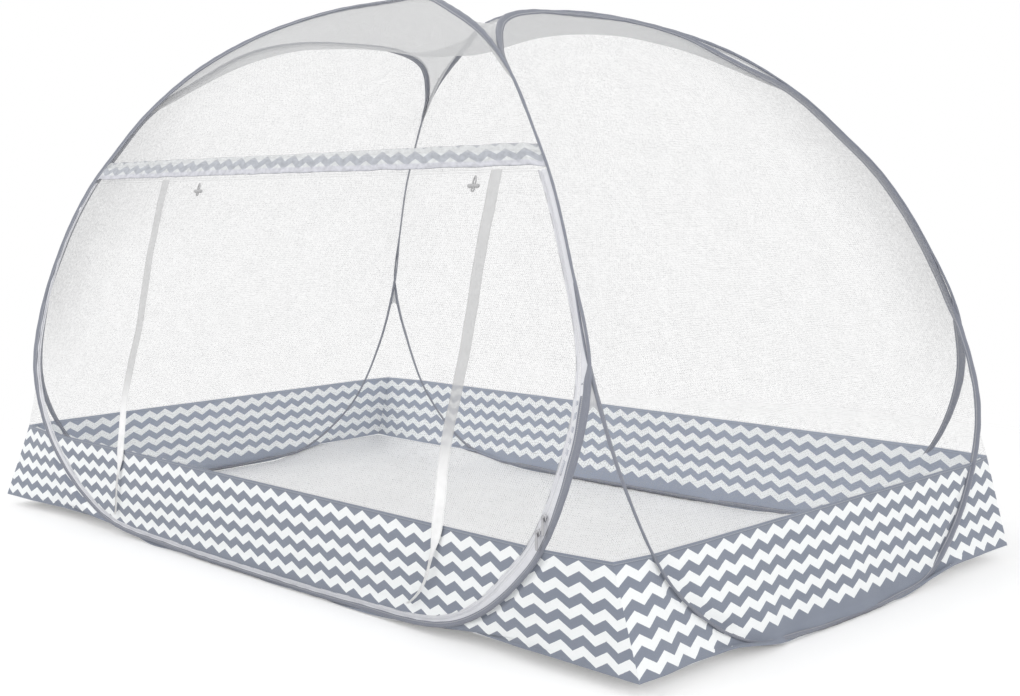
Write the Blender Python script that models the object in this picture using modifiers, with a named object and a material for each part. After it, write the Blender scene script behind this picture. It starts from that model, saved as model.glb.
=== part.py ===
"""A folding mosquito net: four sprung wire hoops, one on each side, sewn together at the corners.

Metres, +Z up. X runs along the long sides, and the front, with the door, faces -Y.
Each side is worked out in its own measures: along it from its middle, out from the net's
centre, and up. The two long sides are alike, and so are the two short ones.
"""

import math

import bmesh
import bpy
from mathutils import Matrix, Vector

# Hem of the skirt, which lifts a little at the corners, and the sheet that it stands on
HEM_LOW = 0.0018
HEM_CORNER = Vector((1.006, 0.586, 0.0280))
SKIRT_TOP_CORNER = Vector((0.955, 0.588, 0.210))
SKIRT_TOP = SKIRT_TOP_CORNER.z
FLOOR_HALF = Vector((0.985, 0.562, 0.0004))

# Half of a hoop from the middle of its foot to the middle of its top: along, out, up
LONG_FOOT = [
    (0.0000, 0.5850, 0.0058),
    (0.3050, 0.5858, 0.0092),
    (0.5920, 0.5905, 0.0325),
    (0.7900, 0.6040, 0.1650),
    (0.8840, 0.6012, 0.3370),
]
SHORT_FOOT = [
    (0.0000, 1.0060, 0.0060),
    (0.1430, 1.0050, 0.0100),
    (0.3040, 0.9950, 0.0300),
    (0.4630, 0.9760, 0.1440),
    (0.5535, 0.9520, 0.3140),
]
CORNER_SEAM = [
    (0.8970, 0.5725, 0.4980),
    (0.8320, 0.5430, 0.6585),
    (0.7620, 0.5080, 0.7825),
    (0.6860, 0.4720, 0.8735),
    (0.5960, 0.4290, 0.9665),
]
LONG_ARCH = [
    (0.4665, 0.3700, 1.0550),
    (0.3135, 0.3095, 1.1195),
    (0.1600, 0.2345, 1.1605),
    (0.0000, 0.1935, 1.1705),
]
SHORT_ARCH = [
    (0.3600, 0.4945, 1.0295),
    (0.2710, 0.4130, 1.0895),
    (0.1520, 0.3735, 1.1160),
    (0.0000, 0.3590, 1.1205),
]
FREE_STEPS, SEAM_STEPS = 3, 2

# Hoop: spring wire, the crimped joint of its ends, and the tape folded round it
WIRE_RADIUS = 0.0012
FERRULE_BORE, FERRULE_RADIUS, FERRULE_LENGTH = 0.0015, 0.0021, 0.034
SEAM_SHIFT = 0.0080
TAPE_POCKET, TAPE_DEPTH, TAPE_CLOTH = 0.0043, 0.0125, 0.0007
SLIT_HALF = 0.0014
OUTER_EDGE = 0.0085
SLOPE_REACH = 0.012

# Cloths
MESH_CLOTH, SKIRT_CLOTH, ROOF_CLOTH = 0.0006, 0.0009, 0.0007
PANEL_INSET = 0.0080
LEAST_HALF_ROW = 0.045
ROOF_EDGE = 0.0100
GAP = 0.0005
ROOF_CROWN = 1.128

# Door: zip tapes round the front hoop, coil between them, band across its head
HEADER_LOW, HEADER_HIGH, HEADER_BULGE = 0.812, 0.850, 0.0050
HEADER_STANDOFF = 0.0022
FRAME_TAPE = (0.0080, 0.0195)
COIL = (0.0200, 0.0240)
DOOR_TAPE = (0.0250, 0.0345)
COIL_THICK, ZIP_CLOTH = 0.0022, 0.0008
DOOR_HEAD = 0.806
DOOR_INSET = DOOR_TAPE[1] + GAP
RIBBON_WIDTH, RIBBON_THICK, RIBBON_STANDOFF = 0.020, 0.0006, 0.0040
RIBBONS = {"left": (-0.410, -0.520), "right": (0.628, 0.545)}
RIBBON_FOOT, RIBBON_BEND = 0.062, 2.4
TIE_BELOW_HEAD, TIE_DROP, TIE_STANDOFF = 0.010, 0.016, 0.0042
TIES = {"left": -0.270, "right": 0.580}
TIE_CORD_RADIUS, TIE_SPREAD = 0.0010, 0.0028
TOGGLE_RADIUS, TOGGLE_LENGTH = 0.0024, 0.019
SLIDER_HEIGHTS = {"upper": (0.262, 0.315, 0.370), "lower": (0.236, 0.185, 0.140)}
SLIDER_OUTLINE = [
    (-0.0034, -0.0055),
    (0.0034, -0.0055),
    (0.0042, 0.0010),
    (0.0030, 0.0055),
    (-0.0030, 0.0055),
    (-0.0042, 0.0010),
]
PULL_HALF_WIDTHS = [(0.0012, 0), (0.0020, 0.006), (0.0026, 0.020), (0.0018, 0.025)]
PULL_STANDOFF, PULL_THICK = 0.0034, 0.0010


def mirrored(point):
    return Vector((-point[0], point[1], point[2]))


def catmull_rom(p0, p1, p2, p3, t):
    square = 2 * p0 - 5 * p1 + 4 * p2 - p3
    cube = 3 * p1 - p0 - 3 * p2 + p3
    return 0.5 * (2 * p1 + (p2 - p0) * t + square * t**2 + cube * t**3)


def half_hoop(foot, seam, arch):
    """Points of half a hoop, close together, through the given ones."""
    knots = [Vector(p) for p in foot + seam + arch]
    chain = [mirrored(knots[1]), *knots, mirrored(knots[-2])]
    points = []
    for i in range(len(knots) - 1):
        on_seam = len(foot) <= i < len(foot) + len(seam) - 1
        steps = SEAM_STEPS if on_seam else FREE_STEPS
        points += [catmull_rom(*chain[i : i + 4], step / steps) for step in range(steps)]
    return points + [knots[-1]]


def slope_at(half, i):
    """The way up the cloth beside a point of half a hoop, read over a reach that spans its ripples."""
    toward_middle = 1 if 2 * i < len(half) else -1
    j = i
    span = Vector((0, 0, 0))
    while span.length < SLOPE_REACH:
        j += toward_middle
        span = Vector((0, half[j].y - half[i].y, half[j].z - half[i].z))
    opposite = half[max(i - toward_middle, 0)] if toward_middle > 0 else half[min(i + 1, len(half) - 1)]
    if (Vector((0, opposite.y, opposite.z)) - Vector((0, half[i].y, half[i].z))).length > SLOPE_REACH:
        span = Vector((0, half[j].y - opposite.y, half[j].z - opposite.z))
    return span.normalized() * (1 if span.z > 0 else -1)


def frames(half):
    """At each point of half a hoop: the point, the way inward on the cloth, and the way out."""
    found = []
    for i, point in enumerate(half):
        before = half[i - 1] if i else mirrored(half[1])
        after = half[i + 1] if i + 1 < len(half) else mirrored(half[-2])
        ahead = (after - before).normalized()
        rise = slope_at(half, i)
        inward = Vector((1, 0, 0)) * -ahead.dot(rise) + rise * ahead.x
        inward.normalize()
        found.append((point, inward, rise.cross(Vector((1, 0, 0)))))
    return found


LONG_SEAM = [(x - SEAM_SHIFT, y, z) for x, y, z in CORNER_SEAM]
SHORT_SEAM = [(y - SEAM_SHIFT, x, z) for x, y, z in CORNER_SEAM]
LONG_HALF = frames(half_hoop(LONG_FOOT, LONG_SEAM, LONG_ARCH))
SHORT_HALF = frames(half_hoop(SHORT_FOOT, SHORT_SEAM, SHORT_ARCH))

SIDES = {
    "front": (LONG_HALF, lambda along, out, up: Vector((along, -out, up))),
    "right": (SHORT_HALF, lambda along, out, up: Vector((out, along, up))),
    "back": (LONG_HALF, lambda along, out, up: Vector((-along, out, up))),
    "left": (SHORT_HALF, lambda along, out, up: Vector((-out, -along, up))),
}
CORNERS = {
    "front_right": (1, -1),
    "back_right": (1, 1),
    "back_left": (-1, 1),
    "front_left": (-1, -1),
}


def clear_scene():
    for obj in list(bpy.data.objects):
        bpy.data.objects.remove(obj, do_unlink=True)


def material(name, colour, roughness, metallic=0.0):
    made = bpy.data.materials.new(name)
    made.use_nodes = True
    shader = made.node_tree.nodes["Principled BSDF"]
    shader.inputs["Base Color"].default_value = (*colour, 1)
    shader.inputs["Roughness"].default_value = roughness
    shader.inputs["Metallic"].default_value = metallic
    return made


def add(name, data, finish, cloth=0.0):
    """An object in the net's collection, thickened where it is cloth."""
    obj = bpy.data.objects.new(name, data)
    bpy.data.collections["folding_mosquito_net"].objects.link(obj)
    data.materials.append(finish)
    if cloth:
        thick = obj.modifiers.new("Cloth", "SOLIDIFY")
        thick.thickness = cloth
        thick.offset = 0
        thick.use_even_offset = True
    return obj


def grid_mesh(name, rows, closed_rows=False, closed_columns=False):
    """A mesh through rows of points, each row as long as the next."""
    shape = bmesh.new()
    lines = [[shape.verts.new(point) for point in row] for row in rows]
    count = len(lines[0])
    for i in range(len(lines) - (0 if closed_rows else 1)):
        here = lines[i]
        there = lines[(i + 1) % len(lines)]
        for j in range(count - (0 if closed_columns else 1)):
            k = (j + 1) % count
            shape.faces.new((here[j], here[k], there[k], there[j]))
    bmesh.ops.recalc_face_normals(shape, faces=shape.faces)
    data = bpy.data.meshes.new(name)
    shape.to_mesh(data)
    shape.free()
    data.shade_smooth()
    data.set_sharp_from_angle(angle=math.radians(40))
    return data


def round_hoop(half):
    """The frames of a whole hoop, from those of one half."""
    other = [(mirrored(p), mirrored(inward), mirrored(out)) for p, inward, out in half[1:-1]]
    return half + other[::-1]


def offset_curve(half, inset, standoff=0.0):
    return [point + inward * inset + out * standoff for point, inward, out in half]


def at_height(curve, height):
    """The point of a rising curve at a height, clamped to its ends."""
    for low, high in zip(curve, curve[1:]):
        if low.z <= height <= high.z:
            share = (height - low.z) / max(high.z - low.z, 1e-9)
            return low.lerp(high, share)
    return curve[0].copy() if height < curve[0].z else curve[-1].copy()


def rising(curve):
    """The curve without the points that don't climb past the last one kept."""
    kept = [curve[0]]
    for point in curve[1:]:
        if point.z > kept[-1].z + 0.002:
            kept.append(point)
    return kept


def between(curve, low, high):
    """The stretch of a rising curve from one height to another."""
    inside = [p for p in curve if low + 0.004 < p.z < high - 0.004]
    start = [at_height(curve, low)] if curve[0].z < low else []
    end = [at_height(curve, high)] if curve[-1].z > high else []
    return start + inside + end


def make_hoop(side, steel, crimp, tape):
    half, place = SIDES[side]
    hoop = round_hoop(half)
    wire = bpy.data.curves.new(f"{side}_wire", "CURVE")
    wire.dimensions = "3D"
    wire.bevel_depth = WIRE_RADIUS
    wire.bevel_resolution = 1
    line = wire.splines.new("POLY")
    line.points.add(len(hoop) - 1)
    for target, (point, _, _) in zip(line.points, hoop):
        target.co = (*place(*point), 1)
    line.use_cyclic_u = True
    add(f"{side}_wire", wire, steel)

    section = [
        (TAPE_DEPTH, SLIT_HALF + TAPE_CLOTH),
        (0, TAPE_POCKET),
        (-TAPE_POCKET, 0),
        (0, -TAPE_POCKET),
        (TAPE_DEPTH, -SLIT_HALF - TAPE_CLOTH),
        (TAPE_DEPTH, -SLIT_HALF),
        (0, -TAPE_POCKET + TAPE_CLOTH),
        (-TAPE_POCKET + TAPE_CLOTH, 0),
        (0, TAPE_POCKET - TAPE_CLOTH),
        (TAPE_DEPTH, SLIT_HALF),
    ]
    rings = [[place(*(p + inward * a + out * b)) for a, b in section] for p, inward, out in hoop]
    add(f"{side}_sleeve", grid_mesh(f"{side}_sleeve", rings, True, True), tape)
    make_ferrule(side, half, place, crimp)


def make_ferrule(side, half, place, crimp):
    """The crimped sleeve over the joint of the wire's ends, on a straight stretch of the foot."""
    start = place(*half[0][0])
    end = place(*half[1][0])
    ahead = (end - start).normalized()
    centre = (start + end) / 2
    across = ahead.orthogonal().normalized()
    up = ahead.cross(across)
    rows = []
    for radius, shift in (
        (FERRULE_BORE, -0.5),
        (FERRULE_RADIUS, -0.5),
        (FERRULE_RADIUS, 0.5),
        (FERRULE_BORE, 0.5),
    ):
        turn = [math.tau * i / 10 for i in range(10)]
        middle = centre + ahead * shift * FERRULE_LENGTH
        rows.append([middle + (across * math.cos(a) + up * math.sin(a)) * radius for a in turn])
    add(f"{side}_ferrule", grid_mesh(f"{side}_ferrule", rows, True, True), crimp)


def make_panel(name, side, inset, low, high, cloth, finish, columns=4):
    """Cloth stretched across a hoop, level lines being straight, between two heights."""
    half, place = SIDES[side]
    edge = between(rising(offset_curve(half, inset)[:-1]), low, high)
    edge = [p for p in edge if p.x > LEAST_HALF_ROW]
    shares = [2 * i / columns - 1 for i in range(columns + 1)]
    rows = [[place(p.x * share, p.y, p.z) for share in shares] for p in edge]
    return add(name, grid_mesh(name, rows), finish, cloth)


def make_border(name, side, inner, outer, high, cloth, finish):
    """A strip that follows a hoop's inner edge from one side, round the foot, to the other."""
    half, place = SIDES[side]
    rows = []
    for inset in (inner, outer):
        edge = offset_curve(half, inset)
        kept = [p for p in edge if p.z < high - 0.004]
        kept.append(at_height(rising(edge), high))
        rows.append([mirrored(p) for p in kept[:0:-1]] + kept)
    shortest = min(len(row) for row in rows)
    rows = [trim_row(row, shortest) for row in rows]
    columns = [[place(*p) for p in row] for row in rows]
    return add(name, grid_mesh(name, columns), finish, cloth)


def trim_row(row, count):
    """The row with points dropped evenly from both ends, next to the end points."""
    while len(row) > count:
        row = [row[0], *row[2:-2], row[-1]]
    return row


def make_corner(corner, skirt_finish, mesh_finish):
    """The cloth outside two neighbouring hoops: skirt below, and a mesh gusset up to their seam."""
    sign_x, sign_y = CORNERS[corner]
    long_edge = rising(offset_curve(LONG_HALF, -OUTER_EDGE))
    short_edge = rising(offset_curve(SHORT_HALF, -OUTER_EDGE))
    fork = Vector(CORNER_SEAM[0])

    def row(height, ridge):
        on_long = at_height(long_edge, height)
        on_short = at_height(short_edge, height)
        a = Vector((on_long.x, on_long.y, height))
        b = Vector((on_short.y, on_short.x, height))
        points = [a, a.lerp(ridge, 0.5), ridge, ridge.lerp(b, 0.5), b]
        return [Vector((p.x * sign_x, p.y * sign_y, p.z)) for p in points]

    def ridge_at(height):
        if height <= SKIRT_TOP:
            share = (height - HEM_LOW) / (SKIRT_TOP - HEM_LOW)
            return HEM_CORNER.lerp(SKIRT_TOP_CORNER, share)
        return SKIRT_TOP_CORNER.lerp(fork, (height - SKIRT_TOP) / (fork.z - SKIRT_TOP))

    hem = row(0.0085, ridge_at(HEM_LOW))
    hem[0].z = hem[-1].z = HEM_LOW
    levels = [0.020, 0.038, 0.060, 0.088, 0.122, 0.160, SKIRT_TOP - GAP]
    skirt = [hem] + [row(level, ridge_at(level)) for level in levels]
    name = f"corner_skirt_{corner}"
    add(name, grid_mesh(name, skirt), skirt_finish, SKIRT_CLOTH)
    top = fork.z - 0.055
    levels = [SKIRT_TOP + GAP + (top - SKIRT_TOP - GAP) * i / 4 for i in range(5)]
    name = f"gusset_{corner}"
    add(name, grid_mesh(name, [row(level, ridge_at(level)) for level in levels]), mesh_finish, MESH_CLOTH)


def make_roof(finish):
    """A soft panel hung between the four arches: a horn to each corner, and a sagging middle."""
    first = len(LONG_FOOT) * FREE_STEPS + (len(CORNER_SEAM) - 1) * SEAM_STEPS + 2
    long_arch = offset_curve(LONG_HALF, -ROOF_EDGE)[first:]
    short_arch = offset_curve(SHORT_HALF, -ROOF_EDGE)[first:]
    across = 4
    rows = []
    for on_long, on_short in zip(long_arch, short_arch):
        start = Vector((on_long.x, on_long.y, on_long.z))
        end = Vector((on_short.y, on_short.x, on_short.z))
        rows.append([start.lerp(end, k / across) for k in range(across + 1)])
    crown = Vector((0, 0, ROOF_CROWN))
    for share in (0.45, 1.0):
        rows.append([p.lerp(crown, share) for p in rows[len(long_arch) - 1]])
    shape = bmesh.new()
    for sign_x, sign_y in CORNERS.values():
        lines = [[shape.verts.new((p.x * sign_x, p.y * sign_y, p.z)) for p in row] for row in rows]
        for here, there in zip(lines, lines[1:]):
            for k in range(across):
                shape.faces.new((here[k], here[k + 1], there[k + 1], there[k]))
    bmesh.ops.remove_doubles(shape, verts=shape.verts, dist=0.0001)
    bmesh.ops.recalc_face_normals(shape, faces=shape.faces)
    data = bpy.data.meshes.new("roof")
    shape.to_mesh(data)
    shape.free()
    data.shade_smooth()
    add("roof", data, finish, ROOF_CLOTH)


def make_floor(finish):
    x, y, z = FLOOR_HALF
    shares = [i / 4 - 1 for i in range(9)]
    rows = [[Vector((x * share, side * y, z)) for share in shares] for side in (-1, 0, 1)]
    add("floor_sheet", grid_mesh("floor_sheet", rows), finish, 0.0008)


def front_at(height, standoff=0.0):
    """Out and up on the front cloth at a height, and clear of it by a standoff."""
    curve = rising([p for p, _, _ in LONG_HALF])
    point = at_height(curve, height)
    above = at_height(curve, height + 0.02)
    slope = Vector((0, above.y - point.y, above.z - point.z)).normalized()
    out = slope.cross(Vector((1, 0, 0)))
    return Vector((0, -(point.y + out.y * standoff), point.z + out.z * standoff))


def make_header(finish):
    """The folded band across the head of the door: a flat tube with a fuller lower edge."""
    half_width = at_height(rising(offset_curve(LONG_HALF, 0.014)), HEADER_HIGH).x
    turns = 10
    rows = []
    for i in range(25):
        x = half_width * (i / 12 - 1)
        ripple = 0.0012 * math.sin(9.0 * i) + 0.0008 * math.sin(23.0 * i)
        ring = []
        for j in range(turns):
            angle = math.tau * j / turns
            middle = (HEADER_LOW + HEADER_HIGH) / 2
            height = middle + math.cos(angle) * (HEADER_HIGH - HEADER_LOW) / 2
            stand = HEADER_STANDOFF + (1 + math.sin(angle)) * (HEADER_BULGE / 2 + ripple * (j != 0))
            ring.append(front_at(height, stand) + Vector((x, 0, 0)))
        rows.append(ring)
    data = grid_mesh("header_band", rows, False, True)
    cap(data)
    add("header_band", data, finish)


def cap(data):
    """Closes the open ends of a tube of faces."""
    shape = bmesh.new()
    shape.from_mesh(data)
    bmesh.ops.holes_fill(shape, edges=[e for e in shape.edges if e.is_boundary], sides=0)
    bmesh.ops.recalc_face_normals(shape, faces=shape.faces)
    shape.to_mesh(data)
    shape.free()


def make_ribbon(name, top_x, foot_x, finish):
    """A flat ribbon down the outside of the door, from its head to its foot."""
    rows = []
    steps = 14
    for i in range(steps + 1):
        share = i / steps
        height = DOOR_HEAD - 0.004 + (RIBBON_FOOT - DOOR_HEAD + 0.004) * share
        x = top_x + (foot_x - top_x) * share**RIBBON_BEND
        centre = front_at(height, RIBBON_STANDOFF)
        rows.append([centre + Vector((x + s * RIBBON_WIDTH / 2, 0, 0)) for s in (-1, 1)])
    return add(name, grid_mesh(name, rows), finish, RIBBON_THICK)


def turn_about(name, pivot, children):
    """An empty on a joint's axis, which carries the pieces that turn on it."""
    empty = bpy.data.objects.new(name, None)
    bpy.data.collections["folding_mosquito_net"].objects.link(empty)
    empty.location = pivot
    empty.empty_display_size = 0.02
    for child in children:
        child.parent = empty
        child.matrix_parent_inverse = Matrix.Translation(pivot).inverted()
    return empty


def make_tie(which, x, cord_finish, bar_finish):
    """A loop of elastic cord under the header, and the short bar that hangs on it."""
    height = DOOR_HEAD - TIE_BELOW_HEAD
    top = front_at(height, TIE_STANDOFF) + Vector((x, 0, 0))
    foot = front_at(height - TIE_DROP, TIE_STANDOFF) + Vector((x, 0, 0))
    hang = (foot - top).normalized()
    cord = bpy.data.curves.new(f"tie_loop_{which}", "CURVE")
    cord.dimensions = "3D"
    cord.bevel_depth = TIE_CORD_RADIUS
    cord.bevel_resolution = 2
    cord.use_fill_caps = True
    line = cord.splines.new("POLY")
    turns = 12
    line.points.add(turns)
    for i, target in enumerate(line.points):
        angle = math.pi * (0.5 + 2 * i / turns)
        gap = 0.0016 * (1 if i < turns / 2 else -1) if i in (0, turns) else 0
        sideways = TIE_SPREAD * math.cos(angle) - gap
        spot = top + hang * (TIE_DROP / 2 * (1 - math.sin(angle)))
        target.co = (spot.x + sideways, spot.y, spot.z, 1)
    loop = add(f"tie_loop_{which}", cord, cord_finish)
    bpy.ops.mesh.primitive_cylinder_add(vertices=12, radius=TOGGLE_RADIUS, depth=TOGGLE_LENGTH)
    bar = bpy.context.object
    bar.name = f"toggle_{which}"
    for collection in bar.users_collection:
        collection.objects.unlink(bar)
    bpy.data.collections["folding_mosquito_net"].objects.link(bar)
    bar.location = top + hang * (TIE_DROP + 0.0045)
    bar.rotation_euler = (0, math.radians(90), 0)
    bar.data.materials.append(bar_finish)
    soften = bar.modifiers.new("Ends", "BEVEL")
    soften.width = 0.0007
    soften.segments = 1
    return turn_about(f"tie_pivot_{which}", top, [loop, bar])


def circle_centre(a, b, c):
    """Centre of the circle through three points."""
    u = b - a
    v = c - a
    normal = u.cross(v)
    offset = u.length_squared * v.cross(normal) + v.length_squared * normal.cross(u)
    return a + offset / (2 * normal.length_squared)


def make_slider(which, heights, metal):
    """A zip slider in front of the coil, and the pull that hangs from its bridge."""
    half, place = SIDES["front"]
    middle = (COIL[0] + COIL[1]) / 2 - 0.002
    track = rising(offset_curve(half, middle, 0.0040))
    spot, midway, far = [place(*at_height(track, height)) for height in heights]
    rise = (place(*at_height(track, heights[0] + 0.02)) - spot).normalized()
    out = Vector((0, -1, 0))
    out = (out - rise * out.dot(rise)).normalized()
    across = rise.cross(out)
    rings = [
        [spot + across * a * size + rise * b * size + out * depth for a, b in SLIDER_OUTLINE]
        for depth, size in ((-0.0012, 0.92), (-0.0006, 1.0), (0.0008, 1.0), (0.0013, 0.90))
    ]
    data = grid_mesh(f"zip_slider_{which}", rings, False, True)
    cap(data)
    slider = add(f"zip_slider_{which}", data, metal)
    hang = spot + out * PULL_STANDOFF
    tab = PULL_HALF_WIDTHS + [(-a, b) for a, b in PULL_HALF_WIDTHS[::-1]]
    rings = [
        [hang + Vector((a, 0, -b)) + out * depth for a, b in tab]
        for depth in (-PULL_THICK / 2, PULL_THICK / 2)
    ]
    data = grid_mesh(f"zip_pull_{which}", rings, False, True)
    cap(data)
    pull = add(f"zip_pull_{which}", data, metal)
    pull_pivot = turn_about(f"pull_pivot_{which}", hang, [pull])
    turn_about(f"slider_centre_{which}", circle_centre(spot, midway, far), [slider, pull_pivot])


def main():
    clear_scene()
    net = bpy.data.collections.new("folding_mosquito_net")
    bpy.context.scene.collection.children.link(net)
    steel = material("spring_steel", (0.30, 0.30, 0.31), 0.35, 1.0)
    crimp = material("ferrule_steel", (0.52, 0.52, 0.53), 0.30, 1.0)
    tape = material("binding_tape", (0.30, 0.32, 0.36), 0.85)
    mesh = material("white_mesh", (0.92, 0.92, 0.92), 0.90)
    print_cloth = material("printed_cloth", (0.45, 0.49, 0.57), 0.85)
    floor = material("floor_cloth", (0.80, 0.80, 0.80), 0.80)
    roof = material("roof_cloth", (0.75, 0.76, 0.77), 0.80)
    zip_white = material("zip_white", (0.88, 0.88, 0.90), 0.70)
    metal = material("zip_metal", (0.70, 0.70, 0.72), 0.25, 1.0)
    plastic = material("toggle_plastic", (0.85, 0.85, 0.85), 0.40)

    for side in SIDES:
        make_hoop(side, steel, crimp, tape)
    for side in ("right", "back", "left"):
        make_panel(f"{side}_skirt", side, PANEL_INSET, 0.012, SKIRT_TOP - GAP, SKIRT_CLOTH, print_cloth)
        make_panel(f"{side}_mesh", side, PANEL_INSET, SKIRT_TOP + GAP, 2.0, MESH_CLOTH, mesh)
    for corner in CORNERS:
        make_corner(corner, print_cloth, mesh)
    make_roof(roof)
    make_floor(floor)
    make_panel("front_mesh", "front", PANEL_INSET, DOOR_HEAD + GAP, 2.0, MESH_CLOTH, mesh)
    make_header(print_cloth)
    make_border("zip_tape", "front", *FRAME_TAPE, DOOR_HEAD, ZIP_CLOTH, zip_white)
    make_border("zip_coil", "front", *COIL, DOOR_HEAD, COIL_THICK, zip_white)
    door = [
        make_border("door_tape", "front", *DOOR_TAPE, DOOR_HEAD - GAP, ZIP_CLOTH, zip_white),
        make_panel("door_skirt", "front", DOOR_INSET, 0.012, SKIRT_TOP - GAP, SKIRT_CLOTH, print_cloth),
        make_panel("door_mesh", "front", DOOR_INSET, SKIRT_TOP + GAP, DOOR_HEAD - GAP, MESH_CLOTH, mesh),
    ]
    door += [make_ribbon(f"ribbon_{which}", *ends, zip_white) for which, ends in RIBBONS.items()]
    door += [make_tie(which, x, zip_white, plastic) for which, x in TIES.items()]
    turn_about("door_hinge", front_at(DOOR_HEAD), door)
    for which, heights in SLIDER_HEIGHTS.items():
        make_slider(which, heights, metal)


main()
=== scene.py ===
"""Looks of a folding mosquito net: its mesh, printed skirt, tapes, zip and ties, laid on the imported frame.

Metres, +Z up. Each side of the net is worked out in its own measures: along it from its middle,
out from the net's centre, and up. The two long sides are alike, and so are the two short ones.
"""

import math

import bpy
import numpy as np
from bpy.props import FloatProperty, FloatVectorProperty, PointerProperty
from mathutils import Matrix, Vector


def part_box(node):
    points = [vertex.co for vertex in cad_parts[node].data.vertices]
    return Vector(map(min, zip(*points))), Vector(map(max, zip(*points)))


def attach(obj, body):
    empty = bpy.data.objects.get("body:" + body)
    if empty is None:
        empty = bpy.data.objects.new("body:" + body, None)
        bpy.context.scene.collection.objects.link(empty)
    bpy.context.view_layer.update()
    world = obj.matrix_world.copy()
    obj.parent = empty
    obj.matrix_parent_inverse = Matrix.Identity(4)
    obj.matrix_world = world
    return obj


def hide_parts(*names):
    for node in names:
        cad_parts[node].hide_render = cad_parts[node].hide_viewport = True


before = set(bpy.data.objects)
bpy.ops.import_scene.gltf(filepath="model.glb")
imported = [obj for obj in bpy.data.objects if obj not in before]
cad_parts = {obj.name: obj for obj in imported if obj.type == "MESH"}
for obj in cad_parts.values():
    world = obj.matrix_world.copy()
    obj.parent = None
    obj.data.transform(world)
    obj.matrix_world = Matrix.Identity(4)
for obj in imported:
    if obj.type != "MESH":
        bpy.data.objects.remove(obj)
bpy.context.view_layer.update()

bl_info = {
    "name": "Folding Mosquito Net",
    "version": (1, 0, 0),
    "blender": (4, 5, 0),
    "location": "View3D > Sidebar > Net",
    "description": "Lays mesh, printed skirt, tapes, zip and ties on the frame of a sprung bed net",
    "category": "Object",
}

# The skirt: its hem, the hem and top edge at a corner, how far the front left corner is thrown out, and
# how far the skirt passes inside a hoop
HEM_LOW = 0.0016
HEM_CORNER = np.array((1.006, 0.586, 0.0280))
SKIRT_TOP_CORNER = np.array((0.955, 0.588, 0.210))
SKIRT_TOP = 0.210
FLARE, SKIRT_RECESS = 0.036, 0.0056

# The hoops' knots, as the frame has them: half of each, from the middle of its foot to its top
LONG_FOOT = [
    (0.0000, 0.5850, 0.0058),
    (0.3050, 0.5858, 0.0092),
    (0.5920, 0.5905, 0.0325),
    (0.7900, 0.6040, 0.1650),
    (0.8840, 0.6012, 0.3370),
]
SHORT_FOOT = [
    (0.0000, 1.0060, 0.0060),
    (0.1430, 1.0050, 0.0100),
    (0.3040, 0.9950, 0.0300),
    (0.4630, 0.9760, 0.1440),
    (0.5535, 0.9520, 0.3140),
]
CORNER_SEAM = [
    (0.8970, 0.5725, 0.4980),
    (0.8320, 0.5430, 0.6585),
    (0.7620, 0.5080, 0.7825),
    (0.6860, 0.4720, 0.8735),
    (0.5960, 0.4290, 0.9665),
]
LONG_ARCH = [
    (0.4665, 0.3700, 1.0550),
    (0.3135, 0.3095, 1.1195),
    (0.1600, 0.2345, 1.1605),
    (0.0000, 0.1935, 1.1705),
]
SHORT_ARCH = [
    (0.3600, 0.4945, 1.0295),
    (0.2710, 0.4130, 1.0895),
    (0.1520, 0.3735, 1.1160),
    (0.0000, 0.3590, 1.1205),
]

# The corner seam: where the hoops fork below it, where it ends above, how far both hoops are drawn in
# along it, and how much less or more each one is
FORK_HEIGHT, SEAM_END_HEIGHT = CORNER_SEAM[0][2], CORNER_SEAM[-1][2]
SEAM_SHIFT, SEAM_APART = 0.0040, 0.0015

# Tapes and zip round the door, as widths in from the front wire
FRAME_TAPE = (0.0028, 0.0197)
COIL_ROWS = (0.0206, 0.0234)
DOOR_TAPE = (0.0243, 0.0306)
DOOR_CLOTH_INSET = 0.0285
WALL_INSET = 0.0015

# Shares of those widths that are drawn at the foot and beside the door's mesh, and the heights between
# which the tapes grow wider and then narrower
FOOT_SHARE, FOOT_HEIGHTS = 0.62, (0.010, 0.140)
UPPER_SHARE, UPPER_HEIGHTS = 0.64, (0.44, 0.66)

# The door's head, and the header band, ribbons and ties that are sewn there
DOOR_HEAD, HEADER_LOW, HEADER_HIGH = 0.806, 0.812, 0.850
GAP = 0.0005
RIBBONS = {"left": (-0.410, -0.520), "right": (0.628, 0.545)}
RIBBON_WIDTH, RIBBON_FOOT, RIBBON_STANDOFF, RIBBON_BEND = 0.027, 0.052, 0.0040, 2.4
RIBBON_HOOK = {"left": 0.010, "right": 0.058}
TIES = {"left": -0.270, "right": 0.580}
TIE_BELOW_HEAD, TIE_DROP, TIE_STANDOFF = 0.010, 0.016, 0.0042

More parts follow.
